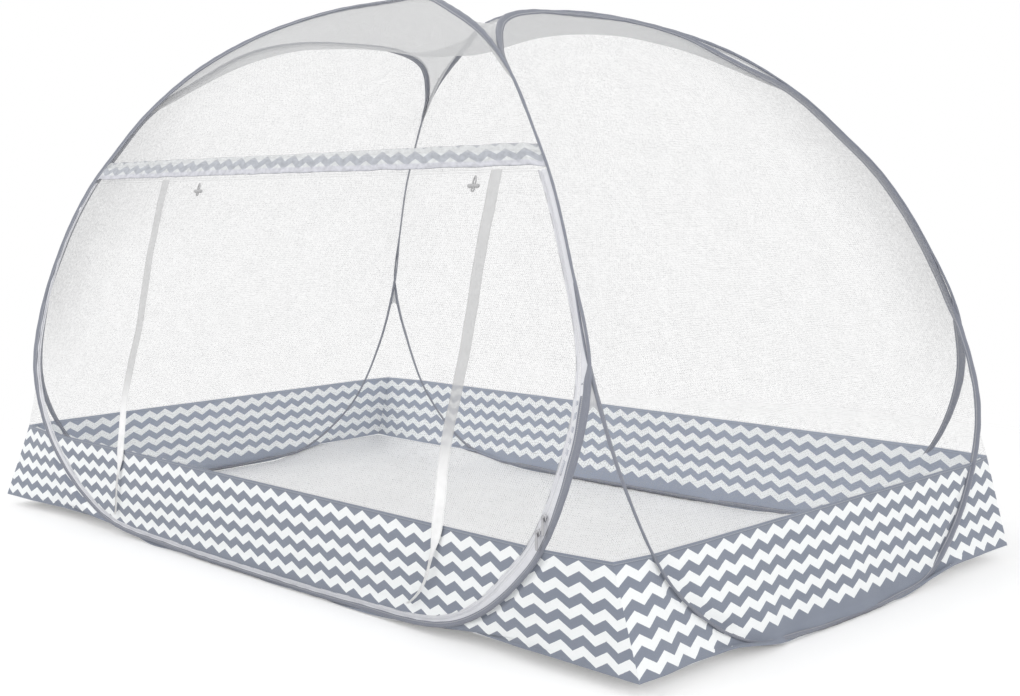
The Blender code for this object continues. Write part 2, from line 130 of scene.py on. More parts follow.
# Binding on the arch, the corner seam, the free stretch, the skirt and the foot of each hoop's two
# ends, as shares of the arch's: its radius round the wire, and how far in it reaches
ROUND_SHARES = {
    "front": [(1.00, 0.60, 0.78, 0.72, 0.78), (1.00, 0.60, 0.78, 0.72, 0.78)],
    "right": [(1.05, 0.52, 0.62, 0.60, 0.90), (1.05, 0.52, 1.20, 1.10, 0.95)],
    "back": [(1.00, 0.60, 0.85, 0.75, 1.15), (1.00, 0.60, 0.58, 0.52, 1.15)],
    "left": [(1.05, 0.52, 0.58, 0.52, 1.00), (1.05, 0.52, 0.90, 0.80, 0.90)],
}
DEPTH_SHARES = {
    "front": [(1.00, 1.15, 1.70, 0.80, 0.80), (1.00, 0.28, 1.75, 0.80, 0.80)],
    "right": [(1.20, 1.33, 0.60, 0.33, 0.52), (1.20, 1.33, 1.27, 0.87, 0.52)],
    "back": [(1.00, 0.28, 1.65, 0.75, 0.65), (1.00, 0.28, 0.80, 0.45, 0.65)],
    "left": [(1.20, 1.33, 0.60, 0.40, 0.52), (1.20, 0.95, 1.20, 0.80, 0.52)],
}

# Print: rows of chevrons, and the middle of the first, down from the skirt's top edge and up from the
# header band's lower edge
CHEVRON_ROWS, CHEVRON_FIRST = 5, 0.0225
HEADER_ROWS, HEADER_FIRST = 2, 0.0405

# Camera, as fitted to the photographed hoops: place, turn, pitch and roll, and its lens in pixels
IMAGE_SIZE = (1020, 696)
CAMERA_PLACE = (2.3526, -2.2068, 0.7783)
CAMERA_TURN = (-0.8317, -0.1248, -0.0179)
FOCAL_PIXELS = 1432.8
CENTRE_PIXEL = (441.5, 368.0)


class NetSizes(bpy.types.PropertyGroup):
    """Sizes of the net's cloths, print and mesh."""

    chevron_pitch: FloatProperty(
        name="Chevron pitch",
        description="Height from one printed row to the next",
        default=0.0348,
        subtype="DISTANCE",
    )
    chevron_length: FloatProperty(
        name="Chevron length",
        description="Length of one zigzag along a row",
        default=0.0470,
        subtype="DISTANCE",
    )
    chevron_rise: FloatProperty(
        name="Chevron rise",
        description="Height of a zigzag above and below its middle line",
        default=0.0069,
        subtype="DISTANCE",
    )
    mesh_pitch: FloatProperty(
        name="Mesh pitch",
        description="Width of one cell of the mesh",
        default=0.0046,
        subtype="DISTANCE",
    )
    mesh_cover: FloatProperty(
        name="Mesh cover",
        description="Share of the mesh that its threads cover",
        default=0.085,
        min=0.05,
        max=0.95,
        subtype="FACTOR",
    )
    mesh_swell: FloatProperty(
        name="Mesh swell",
        description="How far the mesh walls wave in and out",
        default=0.0030,
        subtype="DISTANCE",
    )
    skirt_swell: FloatProperty(
        name="Skirt swell",
        description="How far the skirt waves in and out",
        default=0.0026,
        subtype="DISTANCE",
    )
    tape_depth: FloatProperty(
        name="Binding depth",
        description="How far in from the wire the folded binding reaches on an arch",
        default=0.0095,
        subtype="DISTANCE",
    )
    tape_round: FloatProperty(
        name="Binding round",
        description="Radius of the binding where it goes round the wire of an arch",
        default=0.0040,
        subtype="DISTANCE",
    )


def colour(name, description, default):
    return FloatVectorProperty(
        name=name, description=description, default=default, size=3, min=0, max=1, subtype="COLOR"
    )


class NetColours(bpy.types.PropertyGroup):
    """Colours of the net's cloths, threads and fittings."""

    binding: colour("Binding", "Folded tape round the wires", (0.225, 0.238, 0.285))
    printed: colour("Print", "Ink of the chevrons", (0.232, 0.258, 0.318))
    bleached: colour("White", "Bleached cloth between the chevrons", (0.945, 0.965, 0.970))
    thread: colour("Mesh", "Threads of the mesh", (0.450, 0.450, 0.455))
    roof: colour("Roof", "Thin cloth of the roof", (0.715, 0.720, 0.725))
    floor: colour("Floor sheet", "Cloth that the net stands on", (0.930, 0.930, 0.930))
    # Painted shade: the ribbons are white, and this grey stands in for the shade on their upper part.
    ribbon: colour("Ribbon", "Thin ribbons down the door", (0.520, 0.520, 0.525))
    zip: colour("Zip tape", "Satin tapes either side of the zip", (0.760, 0.765, 0.805))
    tie: colour("Tie", "Elastic cord and its bar", (0.450, 0.450, 0.455))
    steel: colour("Steel", "Spring wire", (0.300, 0.300, 0.310))
    plating: colour("Plating", "Zip sliders, pulls and crimps", (0.460, 0.460, 0.475))


# Shader values and finishes


class Value:
    """A number in a material's tree. Arithmetic on it adds Math nodes."""

    def __init__(self, tree, socket):
        self.tree = tree
        self.socket = socket

    def math(self, operation, *inputs):
        node = self.tree.nodes.new("ShaderNodeMath")
        node.operation = operation
        for socket, item in zip(node.inputs, inputs):
            join(self.tree, socket, item)
        return Value(self.tree, node.outputs[0])

    def __add__(self, other):
        return self.math("ADD", self, other)

    __radd__ = __add__

    def __sub__(self, other):
        return self.math("SUBTRACT", self, other)

    def __rsub__(self, other):
        return self.math("SUBTRACT", other, self)

    def __mul__(self, other):
        return self.math("MULTIPLY", self, other)

    __rmul__ = __mul__

    def __truediv__(self, other):
        return self.math("DIVIDE", self, other)

    def __rtruediv__(self, other):
        return self.math("DIVIDE", other, self)

    def __gt__(self, other):
        return self.math("GREATER_THAN", self, other)

    def __lt__(self, other):
        return self.math("LESS_THAN", self, other)

    def __abs__(self):
        return self.math("ABSOLUTE", self)

    def part(self):
        """What is left over past the last whole number."""
        return self.math("FRACT", self)

    def wave(self, length):
        """A sine of that length along the value."""
        return self.math("SINE", self * (math.tau / length))

    def most(self, other):
        return self.math("MAXIMUM", self, other)

    def least(self, other):
        return self.math("MINIMUM", self, other)


def join(tree, socket, item):
    """Sets a socket to a number, colour or vector, or links it to what gives one."""
    if isinstance(item, Value):
        tree.links.new(item.socket, socket)
    elif isinstance(item, bpy.types.NodeSocket):
        tree.links.new(item, socket)
    elif socket.type == "RGBA" and len(item) == 3:
        socket.default_value = (*item, 1)
    else:
        socket.default_value = item


class Finish:
    """A material in the making: one shader, and the patterns that feed it."""

    def __init__(self, name, **constants):
        self.material = bpy.data.materials.new(name)
        self.material.use_nodes = True
        self.tree = self.material.node_tree
        self.shader = self.tree.nodes["Principled BSDF"]
        for key, value in constants.items():
            self.feed(key.replace("_", " ").title().replace("Ior", "IOR"), value)
        self.place = self.node("ShaderNodeAttribute", {"attribute_name": "cloth"}).outputs["Vector"]
        self.along, self.up, self.rim = self.split(self.place)

    def value(self, socket):
        return Value(self.tree, socket)

    def node(self, kind, settings=None, sockets=None):
        """A node of a kind, its settings made before its sockets."""
        made = self.tree.nodes.new(kind)
        for key, value in (settings or {}).items():
            setattr(made, key, value)
        for key, value in (sockets or {}).items():
            join(self.tree, made.inputs[key], value)
        return made

    def feed(self, socket, item):
        join(self.tree, self.shader.inputs[socket], item)

    def spot(self):
        """Where a point is in its object's own measures."""
        return self.node("ShaderNodeTexCoord").outputs["Object"]

    def split(self, vector):
        """The three values of a vector."""
        made = self.node("ShaderNodeSeparateXYZ", {}, {"Vector": vector})
        return [self.value(made.outputs[axis]) for axis in "XYZ"]

    def mix(self, share, a, b):
        """Colour a where share is 0, and b where it is 1."""
        made = self.node("ShaderNodeMix", {"data_type": "RGBA"})
        join(self.tree, made.inputs["Factor"], share)
        join(self.tree, made.inputs[6], a)
        join(self.tree, made.inputs[7], b)
        return made.outputs[2]

    def shade(self, tint, amount):
        """The colour times a number."""
        made = self.node("ShaderNodeVectorMath", {"operation": "SCALE"}, {"Vector": tint, "Scale": amount})
        return made.outputs[0]

    def noise(self, size, detail, place=None):
        """Noise from 0 to 1 whose blots are about that size on the cloth."""
        made = self.node(
            "ShaderNodeTexNoise",
            {"noise_dimensions": "3D"},
            {"Vector": place or self.place, "Scale": 1 / size, "Detail": detail},
        )
        return self.value(made.outputs["Fac"])

    def smooth(self, item, low, high):
        """0 below low, 1 above high, and smooth between."""
        made = self.node(
            "ShaderNodeMapRange",
            {"interpolation_type": "SMOOTHSTEP"},
            {"Value": item, "From Min": low, "From Max": high},
        )
        return self.value(made.outputs["Result"])

    def raise_by(self, height, depth, strength):
        """Bump from a height of 0 to 1, depth being its size in metres."""
        made = self.node("ShaderNodeBump", {}, {"Height": height, "Distance": depth, "Strength": strength})
        self.feed("Normal", made.outputs["Normal"])

    def weave(self, pitch):
        """Over and under of a plain weave, from 0 to 1."""
        warp = self.along.wave(2 * pitch)
        weft = self.up.wave(2 * pitch)
        return warp * weft * 0.5 + 0.5

    def stitches(self, across, at, length=0.0034, width=0.0005):
        """1 on the stitches of a seam that lies at a distance across the cloth."""
        near = 1 - self.smooth(abs(across - at), width * 0.5, width)
        dash = self.smooth(abs((self.along / length).part() - 0.5), 0.06, 0.14)
        return near * dash


def cell_edge(finish, pitch):
    """How near each spot is to the edge of its six-sided cell: 0 in the middle, and 0.5 at the edge."""
    pull = (finish.noise(0.030, 1.0) - 0.5) * 0.8
    x = finish.along / pitch + pull
    y = finish.up / (pitch * math.sqrt(3)) + pull
    edges = []
    for shift in (0.0, 0.5):
        a = abs((x + shift).part() - 0.5)
        b = abs((y + shift).part() - 0.5) * math.sqrt(3)
        edges.append(a.most(a * 0.5 + b * 0.8660))
    return edges[0].least(edges[1])


def fullness(finish):
    """How far the mesh's holes are filled near its seams, most of all at two opposite corners."""
    x, y, _ = finish.split(finish.spot())
    seam = 1 - finish.smooth(finish.rim, 0.0, 0.22)
    corner = finish.smooth(x * y, 0.02, 0.36) * 0.19 + 0.03
    return seam * corner * finish.smooth(finish.up, 0.28, 0.60)


def mesh_finish(name, tint, sizes, web=None):
    """Knitted mesh of six-sided cells, seen through. A web is the colour of the tape that backs its
    narrow top end."""
    finish = Finish(name, roughness=0.75, sheen_weight=0.15)
    slack = finish.noise(0.0060, 1.0)
    cloud = finish.noise(0.050, 3.0)
    thread = (1 - math.sqrt(1 - sizes.mesh_cover)) / 2
    width = ((slack - 0.5) * 6.0 + (cloud - 0.5) * 1.8 + 1.0).most(0.1).least(3.0) * thread
    knit = finish.smooth(cell_edge(finish, sizes.mesh_pitch) + width, 0.488, 0.512)
    alpha = knit * 0.92 + (1 - knit) * (fullness(finish) * (slack * 1.2 + 0.4) + 0.010)
    tint = finish.mix(slack, tint, [c * 0.90 for c in tint])
    if web:
        reach = finish.smooth(finish.up, 0.425, 0.470) * 0.030
        backed = finish.smooth(reach - finish.rim, 0.0, 0.0012)
        weave = finish.weave(0.0009)
        alpha = alpha.most(backed * (weave * 0.12 + 0.80))
        tint = finish.mix(backed, tint, finish.shade(web, weave * 0.10 + slack * 0.12 + 0.84))
    hem = 1 - finish.smooth(finish.rim, 0.001, 0.004)
    finish.feed("Alpha", (alpha + hem * 0.15).least(0.97))
    finish.feed("Base Color", tint)
    finish.raise_by(knit, 0.0003, 0.35)
    return finish.material


def chevrons(finish, sizes, first, rows):
    """1 in the white rows of the zigzag print, counted down from a first row's middle height."""
    pitch = sizes.chevron_pitch
    swing = (abs((finish.along / sizes.chevron_length).part() - 0.5) * 4 - 1) * sizes.chevron_rise
    smudge = (finish.noise(0.0045, 2.0) - 0.5) * 0.0009
    level = (first + pitch / 2 - finish.up + swing + smudge) / pitch
    inside = (level > 0) * (level < rows)
    band = finish.smooth(abs(level.part() - 0.5), 0.262, 0.238)
    return band * inside


def print_finish(name, ink, bleached, sizes):
    """White cotton with grey-blue chevrons, paler on its inner side, partly as a print's reverse is and
    partly
    as painted light on the shaded inside: plain weave, a sewn hem with painted shade in its fold, soft
    creases and a little fade."""
    finish = Finish(name, roughness=0.86, sheen_weight=0.25, sheen_roughness=0.5)
    white = chevrons(finish, sizes, SKIRT_TOP - CHEVRON_FIRST, CHEVRON_ROWS)
    thread = finish.weave(0.00042)
    slub = finish.noise(0.0022, 3.0)
    fade = finish.noise(0.11, 3.0)
    crease = finish.noise(0.045, 4.0)
    # Painted light, in part: ink on the inner side is paler, as a print's reverse is, and paler still to lift
    # the shade that falls inside the net.
    within = finish.value(finish.node("ShaderNodeNewGeometry").outputs["Backfacing"])
    ink = finish.mix(fade, [c * 0.95 for c in ink], [min(c * 1.06, 1) for c in ink])
    ink = finish.shade(ink, within * 0.48 + 1.0)
    tint = finish.mix(white, ink, bleached)
    seam = finish.stitches(finish.rim, 0.0045)
    # Painted shade in the hem's fold: the colour is darkened along that line, where the bump also dips.
    fold = 1 - finish.smooth(abs(finish.rim - 0.0062), 0.0002, 0.0008)
    tint = finish.mix(seam * 0.35, tint, [c * 0.80 for c in bleached])
    tint = finish.shade(tint, (thread * 0.05 + slub * 0.07 + 0.915) * (1 - fold * 0.16))
    finish.feed("Base Color", tint)
    finish.feed("Roughness", slub * 0.12 + 0.80)
    finish.raise_by(thread * 0.25 + crease * 3.4 + slub * 0.15 + seam * 0.8 - fold * 0.8, 0.0009, 0.55)
    return finish.material


def header_finish(name, ink, bleached, sizes):
    """The print on a thin band that is gathered and folded: paler, smudged, with painted shade in its
    creases and a painted shadow along its sewn lower edge.
    """
    finish = Finish(name, roughness=0.86, sheen_weight=0.25, sheen_roughness=0.5)
    creased = finish.noise(0.011, 3.0)
    white = chevrons(finish, sizes, HEADER_FIRST, HEADER_ROWS)
    top = finish.smooth(finish.up + (creased - 0.5) * 0.006, 0.0300, 0.0350)
    low = 1 - finish.smooth(finish.up, 0.0095, 0.0135)
    thread = finish.weave(0.00042)
    tint = finish.mix(white * 0.85, [c * 0.75 + 0.30 for c in ink], [c * 0.86 for c in bleached])
    tint = finish.mix(low * 0.75, tint, [0.66, 0.66, 0.73])
    # Painted shade: the tone follows the creases that the bump raises, darker in their hollows.
    tint = finish.shade(tint, creased * 0.44 + thread * 0.04 + 0.70)
    # Painted shadow: a dark line along the band's sewn lower edge stands in for the shade under its fold.
    sewn = 1 - finish.smooth(finish.up + (creased - 0.5) * 0.0010, 0.0004, 0.0012)
    finish.feed("Base Color", finish.mix(sewn * 0.85, tint, [c * 0.40 for c in ink]))
    finish.feed("Roughness", creased * 0.10 + 0.80)
    finish.raise_by(thread * 0.2 + creased * 3.0, 0.0009, 0.7)
    finish.feed("Alpha", ((creased - 0.5) * 0.25 + 0.94 - top * 0.42).least(1.0))
    return finish.material


def binding_finish(name, tint):
    """Grey-blue twill tape, stitched along its inner edge, rubbed pale over the wire, with painted shade
    in its puckers and where it stands on the floor."""
    finish = Finish(name, roughness=0.80, sheen_weight=0.30, sheen_roughness=0.4)
    twill = (finish.along + finish.up).wave(0.00110) * 0.5 + 0.5
    rub = finish.noise(0.0085, 4.0)
    # Puckers of the tape: the bump raises them, and the colour is painted darker in their hollows as shade.
    pull = finish.noise(0.035, 2.0)
    crown = 1 - finish.smooth(abs(finish.rim - 1.0), 0.0, 0.55)
    row = finish.stitches(finish.rim, 0.22, 0.0032, 0.07)
    level = finish.split(finish.spot())[2]
    # Painted shade: the tape is darkened near the floor, where shade falls under the hoop's foot.
    painted_foot_shade = 1 - finish.smooth(level, 0.0035, 0.0100)
    shade = (twill * 0.14 + rub * 0.16 + pull * 0.14 + 0.78) * (1 - painted_foot_shade * 0.45)
    pale = [c * 0.45 + 0.40 for c in tint]
    worn = finish.mix(crown * finish.smooth(rub, 0.45, 0.8) * 0.35, tint, pale)
    finish.feed("Base Color", finish.shade(finish.mix(row * 0.75, worn, pale), shade))
    finish.feed("Roughness", 0.86 - crown * 0.14)
    finish.raise_by(twill * 0.3 + pull * 2.0 + row * 1.2, 0.0006, 0.6)
    return finish.material


def satin_finish(name, tint, ribs=0.0014, cover=1.0, foot=None):
    """White woven tape: fine ribs along it, a satin shine, and light scuffs, with painted shade in its
    gathers. A foot is the colour that a thin ribbon has where it doubles up, near its lower end; above it,
    the ribbon's grey tint is painted shade."""
    finish = Finish(name, roughness=0.42, sheen_weight=0.2, coat_weight=0.05)
    rib = finish.up.wave(ribs) * 0.5 + 0.5
    pick = finish.along.wave(0.0008) * 0.5 + 0.5
    scuff = finish.noise(0.016, 4.0)
    gather = finish.noise(0.030, 2.0)
    seam = finish.stitches(finish.rim, 0.0018)
    # The gather term is painted shade: the tone darkens in the hollows of the gathers that the bump makes.
    tone = rib * 0.07 + scuff * 0.14 + gather * 0.10 + 0.80
    sewn = [c * 0.7 for c in tint]
    if foot:
        # Painted light, in part: where the ribbon doubles up it is more opaque, and its painted-shade grey
        # gives way to white, as if lit.
        doubled = finish.smooth(finish.along, 0.40, 0.55)
        tint = finish.mix(doubled, tint, foot)
        cover = doubled * (0.97 - cover) + cover
    finish.feed("Base Color", finish.shade(finish.mix(seam * 0.5, tint, sewn), tone))
    finish.feed("Roughness", scuff * 0.22 + 0.34)
    finish.raise_by(rib * 0.5 + pick * 0.25 + gather * 2.4 + seam * 0.8, 0.0005, 0.55)
    if foot:
        finish.feed("Alpha", ((gather - 0.5) * 0.16 + rib * 0.06 + cover - 0.03).least(1.0))
    return finish.material


def thin_finish(name, tint, cover, wrinkle=0.06):
    """Thin plain cloth that lets some of what is behind show, with soft creases and painted shade along them.
    """
    finish = Finish(name, roughness=0.80, sheen_weight=0.2)
    thread = finish.weave(0.00050)
    cloud = finish.noise(0.16, 3.0)
    crease = finish.noise(wrinkle, 5.0)
    slub = finish.noise(0.0030, 3.0)
    hem = 1 - finish.smooth(finish.rim, 0.004, 0.010)
    tone = cloud * 0.10 + slub * 0.06 + thread * 0.03 + 0.90 - hem * 0.07
    # Painted shade: the colour is a shade darker along the creases that the bump raises.
    finish.feed("Base Color", finish.shade(finish.mix(crease, tint, [c * 0.95 for c in tint]), tone))
    finish.raise_by(crease * 4.5 + thread * 0.2 + slub * 0.2, 0.0012, 0.6)
    if cover < 1:
        finish.feed("Alpha", ((cloud - 0.5) * 0.10 + (slub - 0.5) * 0.12 + hem * 0.08 + cover).least(1.0))
    return finish.material


def metal_finish(name, tint, roughness):
    """Drawn or plated metal: fine lines, dulled in patches."""
    finish = Finish(name, metallic=1.0)
    spot = finish.spot()
    line = finish.noise(0.0006, 4.0, spot)
    dull = finish.noise(0.012, 3.0, spot)
    finish.feed("Base Color", finish.shade(tint, line * 0.14 + dull * 0.18 + 0.82))
    finish.feed("Roughness", dull * 0.22 + roughness)
    finish.raise_by(line, 0.0001, 0.25)
    return finish.material


def moulded_finish(name, tint):
    """Moulded plastic: a faint grain, and scuffed in places."""
    finish = Finish(name, roughness=0.45, coat_weight=0.1)
    spot = finish.spot()
    grain = finish.noise(0.0007, 4.0, spot)
    scuff = finish.noise(0.005, 4.0, spot)
    finish.feed("Base Color", finish.shade(tint, grain * 0.08 + scuff * 0.12 + 0.88))
    finish.feed("Roughness", scuff * 0.25 + 0.35)
    finish.raise_by(grain, 0.0002, 0.3)
    return finish.material


def elastic_finish(name, tint):
    """Braided elastic cord: crossed strands round it."""
    finish = Finish(name, roughness=0.70, sheen_weight=0.3)
    spot = finish.spot()
    braid = finish.noise(0.0009, 2.0, spot)
    dirt = finish.noise(0.006, 3.0, spot)
    finish.feed("Base Color", finish.shade(tint, braid * 0.30 + dirt * 0.14 + 0.75))
    finish.raise_by(braid, 0.0003, 0.6)
    return finish.material


# Curves of the hoops, in a side's own measures


def travelled(line):
    """How far along a line each of its points is."""
    return np.r_[0, np.cumsum(np.linalg.norm(np.diff(line, axis=0), axis=1))]


def spaced(curve, step):
    """The curve's points again, evenly spaced, and how far along it each one is."""
    travel = travelled(curve)
    even = np.linspace(0, travel[-1], max(2, round(travel[-1] / step) + 1))
    return np.stack([np.interp(even, travel, column) for column in curve.T], 1), even


def smooth_through(knots, steps=24):
    """A Catmull-Rom curve through half a hoop's knots, which are mirrored past its ends."""
    knots = np.array(knots)
    flip = np.array((-1, 1, 1))
    chain = np.vstack([knots[1] * flip, knots, knots[-2] * flip])
    t = np.linspace(0, 1, steps, endpoint=False)[:, None]
    spans = [
        0.5 * (2 * b + (c - a) * t + (2 * a - 5 * b + 4 * c - d) * t**2 + (3 * b - a - 3 * c + d) * t**3)
        for a, b, c, d in zip(chain, chain[1:], chain[2:], chain[3:])
    ]
    return np.vstack([*spans, knots[-1:]])


def unit(vectors):
    return vectors / np.linalg.norm(vectors, axis=-1, keepdims=True)


def ease(values, low, high):
    t = np.clip((values - low) / (high - low), 0, 1)
    return t * t * (3 - 2 * t)


class Hoop:
    """Half of a hoop from its foot to its top: points, the way in on the cloth, and the way out of it."""

    def __init__(self, foot, seam, arch, step=0.0060, reach=0.012):
        self.points, self.travel = spaced(smooth_through([*foot, *seam, *arch]), step)
        ends = [self.points[1] * (-1, 1, 1)], [self.points[-2] * (-1, 1, 1)]
        longer = np.vstack([ends[0], self.points, ends[1]])
        ahead = unit(longer[2:] - longer[:-2])
        profile = self.points[:, 1:]
        climb = travelled(profile)
        above = [np.interp(climb + reach, climb, column) for column in profile.T]
        below = [np.interp(climb - reach, climb, column) for column in profile.T]
        slope = unit(np.stack(above, 1) - np.stack(below, 1))
        lean = (ahead[:, 1:] * slope).sum(1)
        self.inward = unit(np.column_stack([-lean, slope * ahead[:, :1]]))
        self.out = np.column_stack([np.zeros(len(slope)), slope[:, 1], -slope[:, 0]])
        self.climb = climb
        self.heights = np.maximum.accumulate(self.points[:, 2] + np.arange(len(climb)) * 1e-9)

    def offset(self, inset):
        """The hoop moved in on the cloth. The tapes are drawn narrower round the foot and up beside the
        door's mesh."""
        height = self.points[:, 2:]
        foot = FOOT_SHARE + (1 - FOOT_SHARE) * ease(height, *FOOT_HEIGHTS)
        upper = 1 - (1 - UPPER_SHARE) * ease(height, *UPPER_HEIGHTS)
        return self.points + self.inward * inset * (foot * upper)

    def at(self, height):
        """Along and out of the hoop at each height."""
        along, out = [np.interp(height, self.heights, self.points[:, i]) for i in (0, 1)]
        return along, out

    def measure(self, height):
        """How far up the cloth each height is."""
        return np.interp(height, self.heights, self.climb)

    def facing(self, height):
        """The way out of the cloth at each height."""
        return np.stack([np.interp(height, self.heights, self.out[:, i]) for i in range(3)], -1)


def whole(half):
    """Points or directions along half of a hoop, followed by those along its mirrored other half."""
    return np.concatenate([half, half[-2::-1] * (-1, 1, 1)])


def seam_knots(order, shift):
    """The corner seam as one of its two hoops has it, drawn in along the corner's diagonal."""
    return [(knot[order] - shift, knot[1 - order] - shift, knot[2]) for knot in CORNER_SEAM]


LONG = Hoop(LONG_FOOT, seam_knots(0, SEAM_SHIFT - SEAM_APART), LONG_ARCH)
SHORT = Hoop(SHORT_FOOT, seam_knots(1, SEAM_SHIFT + SEAM_APART), SHORT_ARCH)
HOOPS = {"front": LONG, "right": SHORT, "back": LONG, "left": SHORT}
TURNS = {
    "front": ((1, 0), (0, -1)),
    "right": ((0, 1), (1, 0)),
    "back": ((-1, 0), (0, 1)),
    "left": ((0, -1), (-1, 0)),
}
CORNERS = {"front_right": (1, -1), "back_right": (1, 1), "back_left": (-1, 1), "front_left": (-1, -1)}


def placed(side, points):
    """Points of a side's own measures, in the net's."""
    (ax, ay), (ox, oy) = TURNS[side]
    along, out, up = np.moveaxis(np.asarray(points), -1, 0)
    return np.stack([along * ax + out * ox, along * ay + out * oy, up], -1)


def swell(u, v, size, seed):
    """Smooth waves from about -1 to 1, of about that size, over a cloth."""
    total = 0
    for k in range(5):
        turn = 2.4 * k + seed * 1.7
        stretch = math.tau / (size * (0.7 + 0.23 * ((k * 7 + seed * 3) % 5)))
        total = total + np.sin((u * math.cos(turn) + v * math.sin(turn)) * stretch + 1.9 * k + seed)
    return total / 2.6


# Meshes and objects


def mark_cloth(data, cloth):
    """Keeps each point's place on the flat cloth, and how far in it is from the cloth's rim."""
    spots = data.attributes.new("cloth", "FLOAT_VECTOR", "POINT")
    spots.data.foreach_set("vector", cloth.astype(np.float32).ravel())


def baking_map(data, rows, columns, rolls):
    """A map for baking, cut across into that many rolls, so that a long tape fills a square."""
    i, j = np.meshgrid(np.arange(rows - 1), np.arange(columns - 1), indexing="ij")
    length = math.ceil((rows - 1) / rolls)
    roll = i // length
    corners = []
    for down, right in ((0, 0), (0, 1), (1, 1), (1, 0)):
        x = (i - roll * length + down) / length
        y = (roll + 0.04 + 0.92 * (j + right) / (columns - 1)) / rolls
        corners.append(np.stack([x, y], -1))
    layer = data.uv_layers.new(name="OFBake")
    layer.uv.foreach_set("vector", np.stack(corners, 2).astype(np.float32).ravel())


def cloth_mesh(name, points, cloth, rolls=1):
    """A sheet of faces through rows of points, with each point's place on the flat cloth."""
    rows, columns = points.shape[:2]
    index = np.arange(rows * columns).reshape(rows, columns)
    quads = np.stack([index[:-1, :-1], index[:-1, 1:], index[1:, 1:], index[1:, :-1]], -1).reshape(-1, 4)
    data = bpy.data.meshes.new(name)
    data.from_pydata(points.reshape(-1, 3).tolist(), [], quads.tolist())
    mark_cloth(data, cloth)
    baking_map(data, rows, columns, rolls)
    data.shade_smooth()
    return data


def piece(name, data, finish, body, nodes=()):
    """An object that rides on a body, wears the finish it is given, and stands for nodes of the frame."""
    made = bpy.data.objects.new(name, data)
    bpy.context.scene.collection.objects.link(made)
    data.materials.append(finish)
    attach(made, body)
    if nodes:
        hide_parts(*nodes)
    return made


def bent(name, points, radius, closed=False):
    """A round wire or cord through points."""
    curve = bpy.data.curves.new(name, "CURVE")
    curve.dimensions = "3D"
    curve.bevel_depth = radius
    curve.bevel_resolution = 3
    curve.use_fill_caps = not closed
    line = curve.splines.new("POLY")
    line.use_cyclic_u = closed
    line.points.add(len(points) - 1)
    for target, point in zip(line.points, points):
        target.co = (*point, 1)
    return curve


def declare_sheet(made):
    """Reads a cloth's own places on the flat back from its mesh, and keeps nothing of them."""
    spots = np.zeros(len(made.data.vertices) * 3, np.float32)
    made.data.attributes["cloth"].data.foreach_get("vector", spots)


def levels_within(hoop, inset, low, high, step):
    """Points up the hoop's inner line between two heights, one for each level row of the cloth."""
    edge = hoop.offset(inset)
    rising = edge[:, 2] >= np.maximum.accumulate(edge[:, 2])
    edge = edge[rising & (edge[:, 0] > 0.008)]
    levels = edge[:, 2] + np.arange(len(edge)) * 1e-9
    inside = edge[(levels > low + 0.003) & (levels < high - 0.003)]
    for height, first in ((low, True), (high, False)):
        if levels[0] < height < levels[-1]:
            row = [[np.interp(height, levels, edge[:, i]) for i in range(3)]]
            inside = np.vstack([row, inside] if first else [inside, row])
    return spaced(inside, step)[0]


def wall_points(side, inset, low, high, sway, seed, step=0.014):
    """Cloth within a hoop, level rows being straight, between two heights; with its places on the flat."""
    hoop = HOOPS[side]
    half, out, up = levels_within(hoop, inset, low, high, step).T[..., None]
    shares = np.linspace(-1, 1, 2 * round(half.max() / step) + 1)
    along = half * shares
    out = np.repeat(out, len(shares), 1)
    up = np.repeat(up, len(shares), 1)
    measure = hoop.measure(up)
    ends = np.minimum(measure - measure[0, 0], measure[-1, 0] - measure)
    gap = np.minimum(half - abs(along), ends)
    calm = ease(gap, 0.0, 0.10)
    pucker = np.sin(measure / 0.0115 + 3 * swell(along, measure, 0.3, seed + 2)) * np.exp(-gap / 0.020)
    lift = sway * (calm * swell(along, measure, 0.34, seed) + 0.30 * pucker * ease(gap, 0, 0.006))
    points = np.stack([along, out, up], -1) + hoop.facing(up) * lift[..., None]
    return placed(side, points), np.stack([along, measure, gap], -1)


def ridge(height):
    """The corner line of the cloth outside the hoops: up the skirt, then in to where the hoops meet."""
    height = np.asarray(height, float)
    share = np.clip((height - HEM_LOW) / (SKIRT_TOP - HEM_LOW), 0, 1)[..., None]
    skirt = HEM_CORNER + (SKIRT_TOP_CORNER - HEM_CORNER) * share
    share = np.clip((height - SKIRT_TOP) / (FORK_HEIGHT - SKIRT_TOP), 0, 1)[..., None]
    fork = np.array(CORNER_SEAM[0]) - (SEAM_SHIFT, SEAM_SHIFT, 0)
    return skirt + (fork - SKIRT_TOP_CORNER) * share


def hem_share(along, short, start=0.0, reach=1.1):
    """How far the hem has come off the floor: 0 along the foot of the hoop, and 1 out at the corner."""
    first, span = (0.17, 0.19) if short else (0.36, 0.27)
    first = np.maximum(start, first)
    return ease(abs(along), first, first + np.minimum(span, reach - first))


def skirt_recess(side, along, along_hoop, level):
    """How far the skirt passes inside a hoop, which it does at each corner but the back left one."""
    outside = {"back": along > 0, "left": along < 0}.get(side, np.zeros(along.shape, bool))
    near = 1 - ease(abs(abs(along) - along_hoop + 0.006), 0.012, 0.034)
    return SKIRT_RECESS * near * ease(level, 0.030, 0.060) * (1 - ease(level, 0.185, SKIRT_TOP)) * ~outside


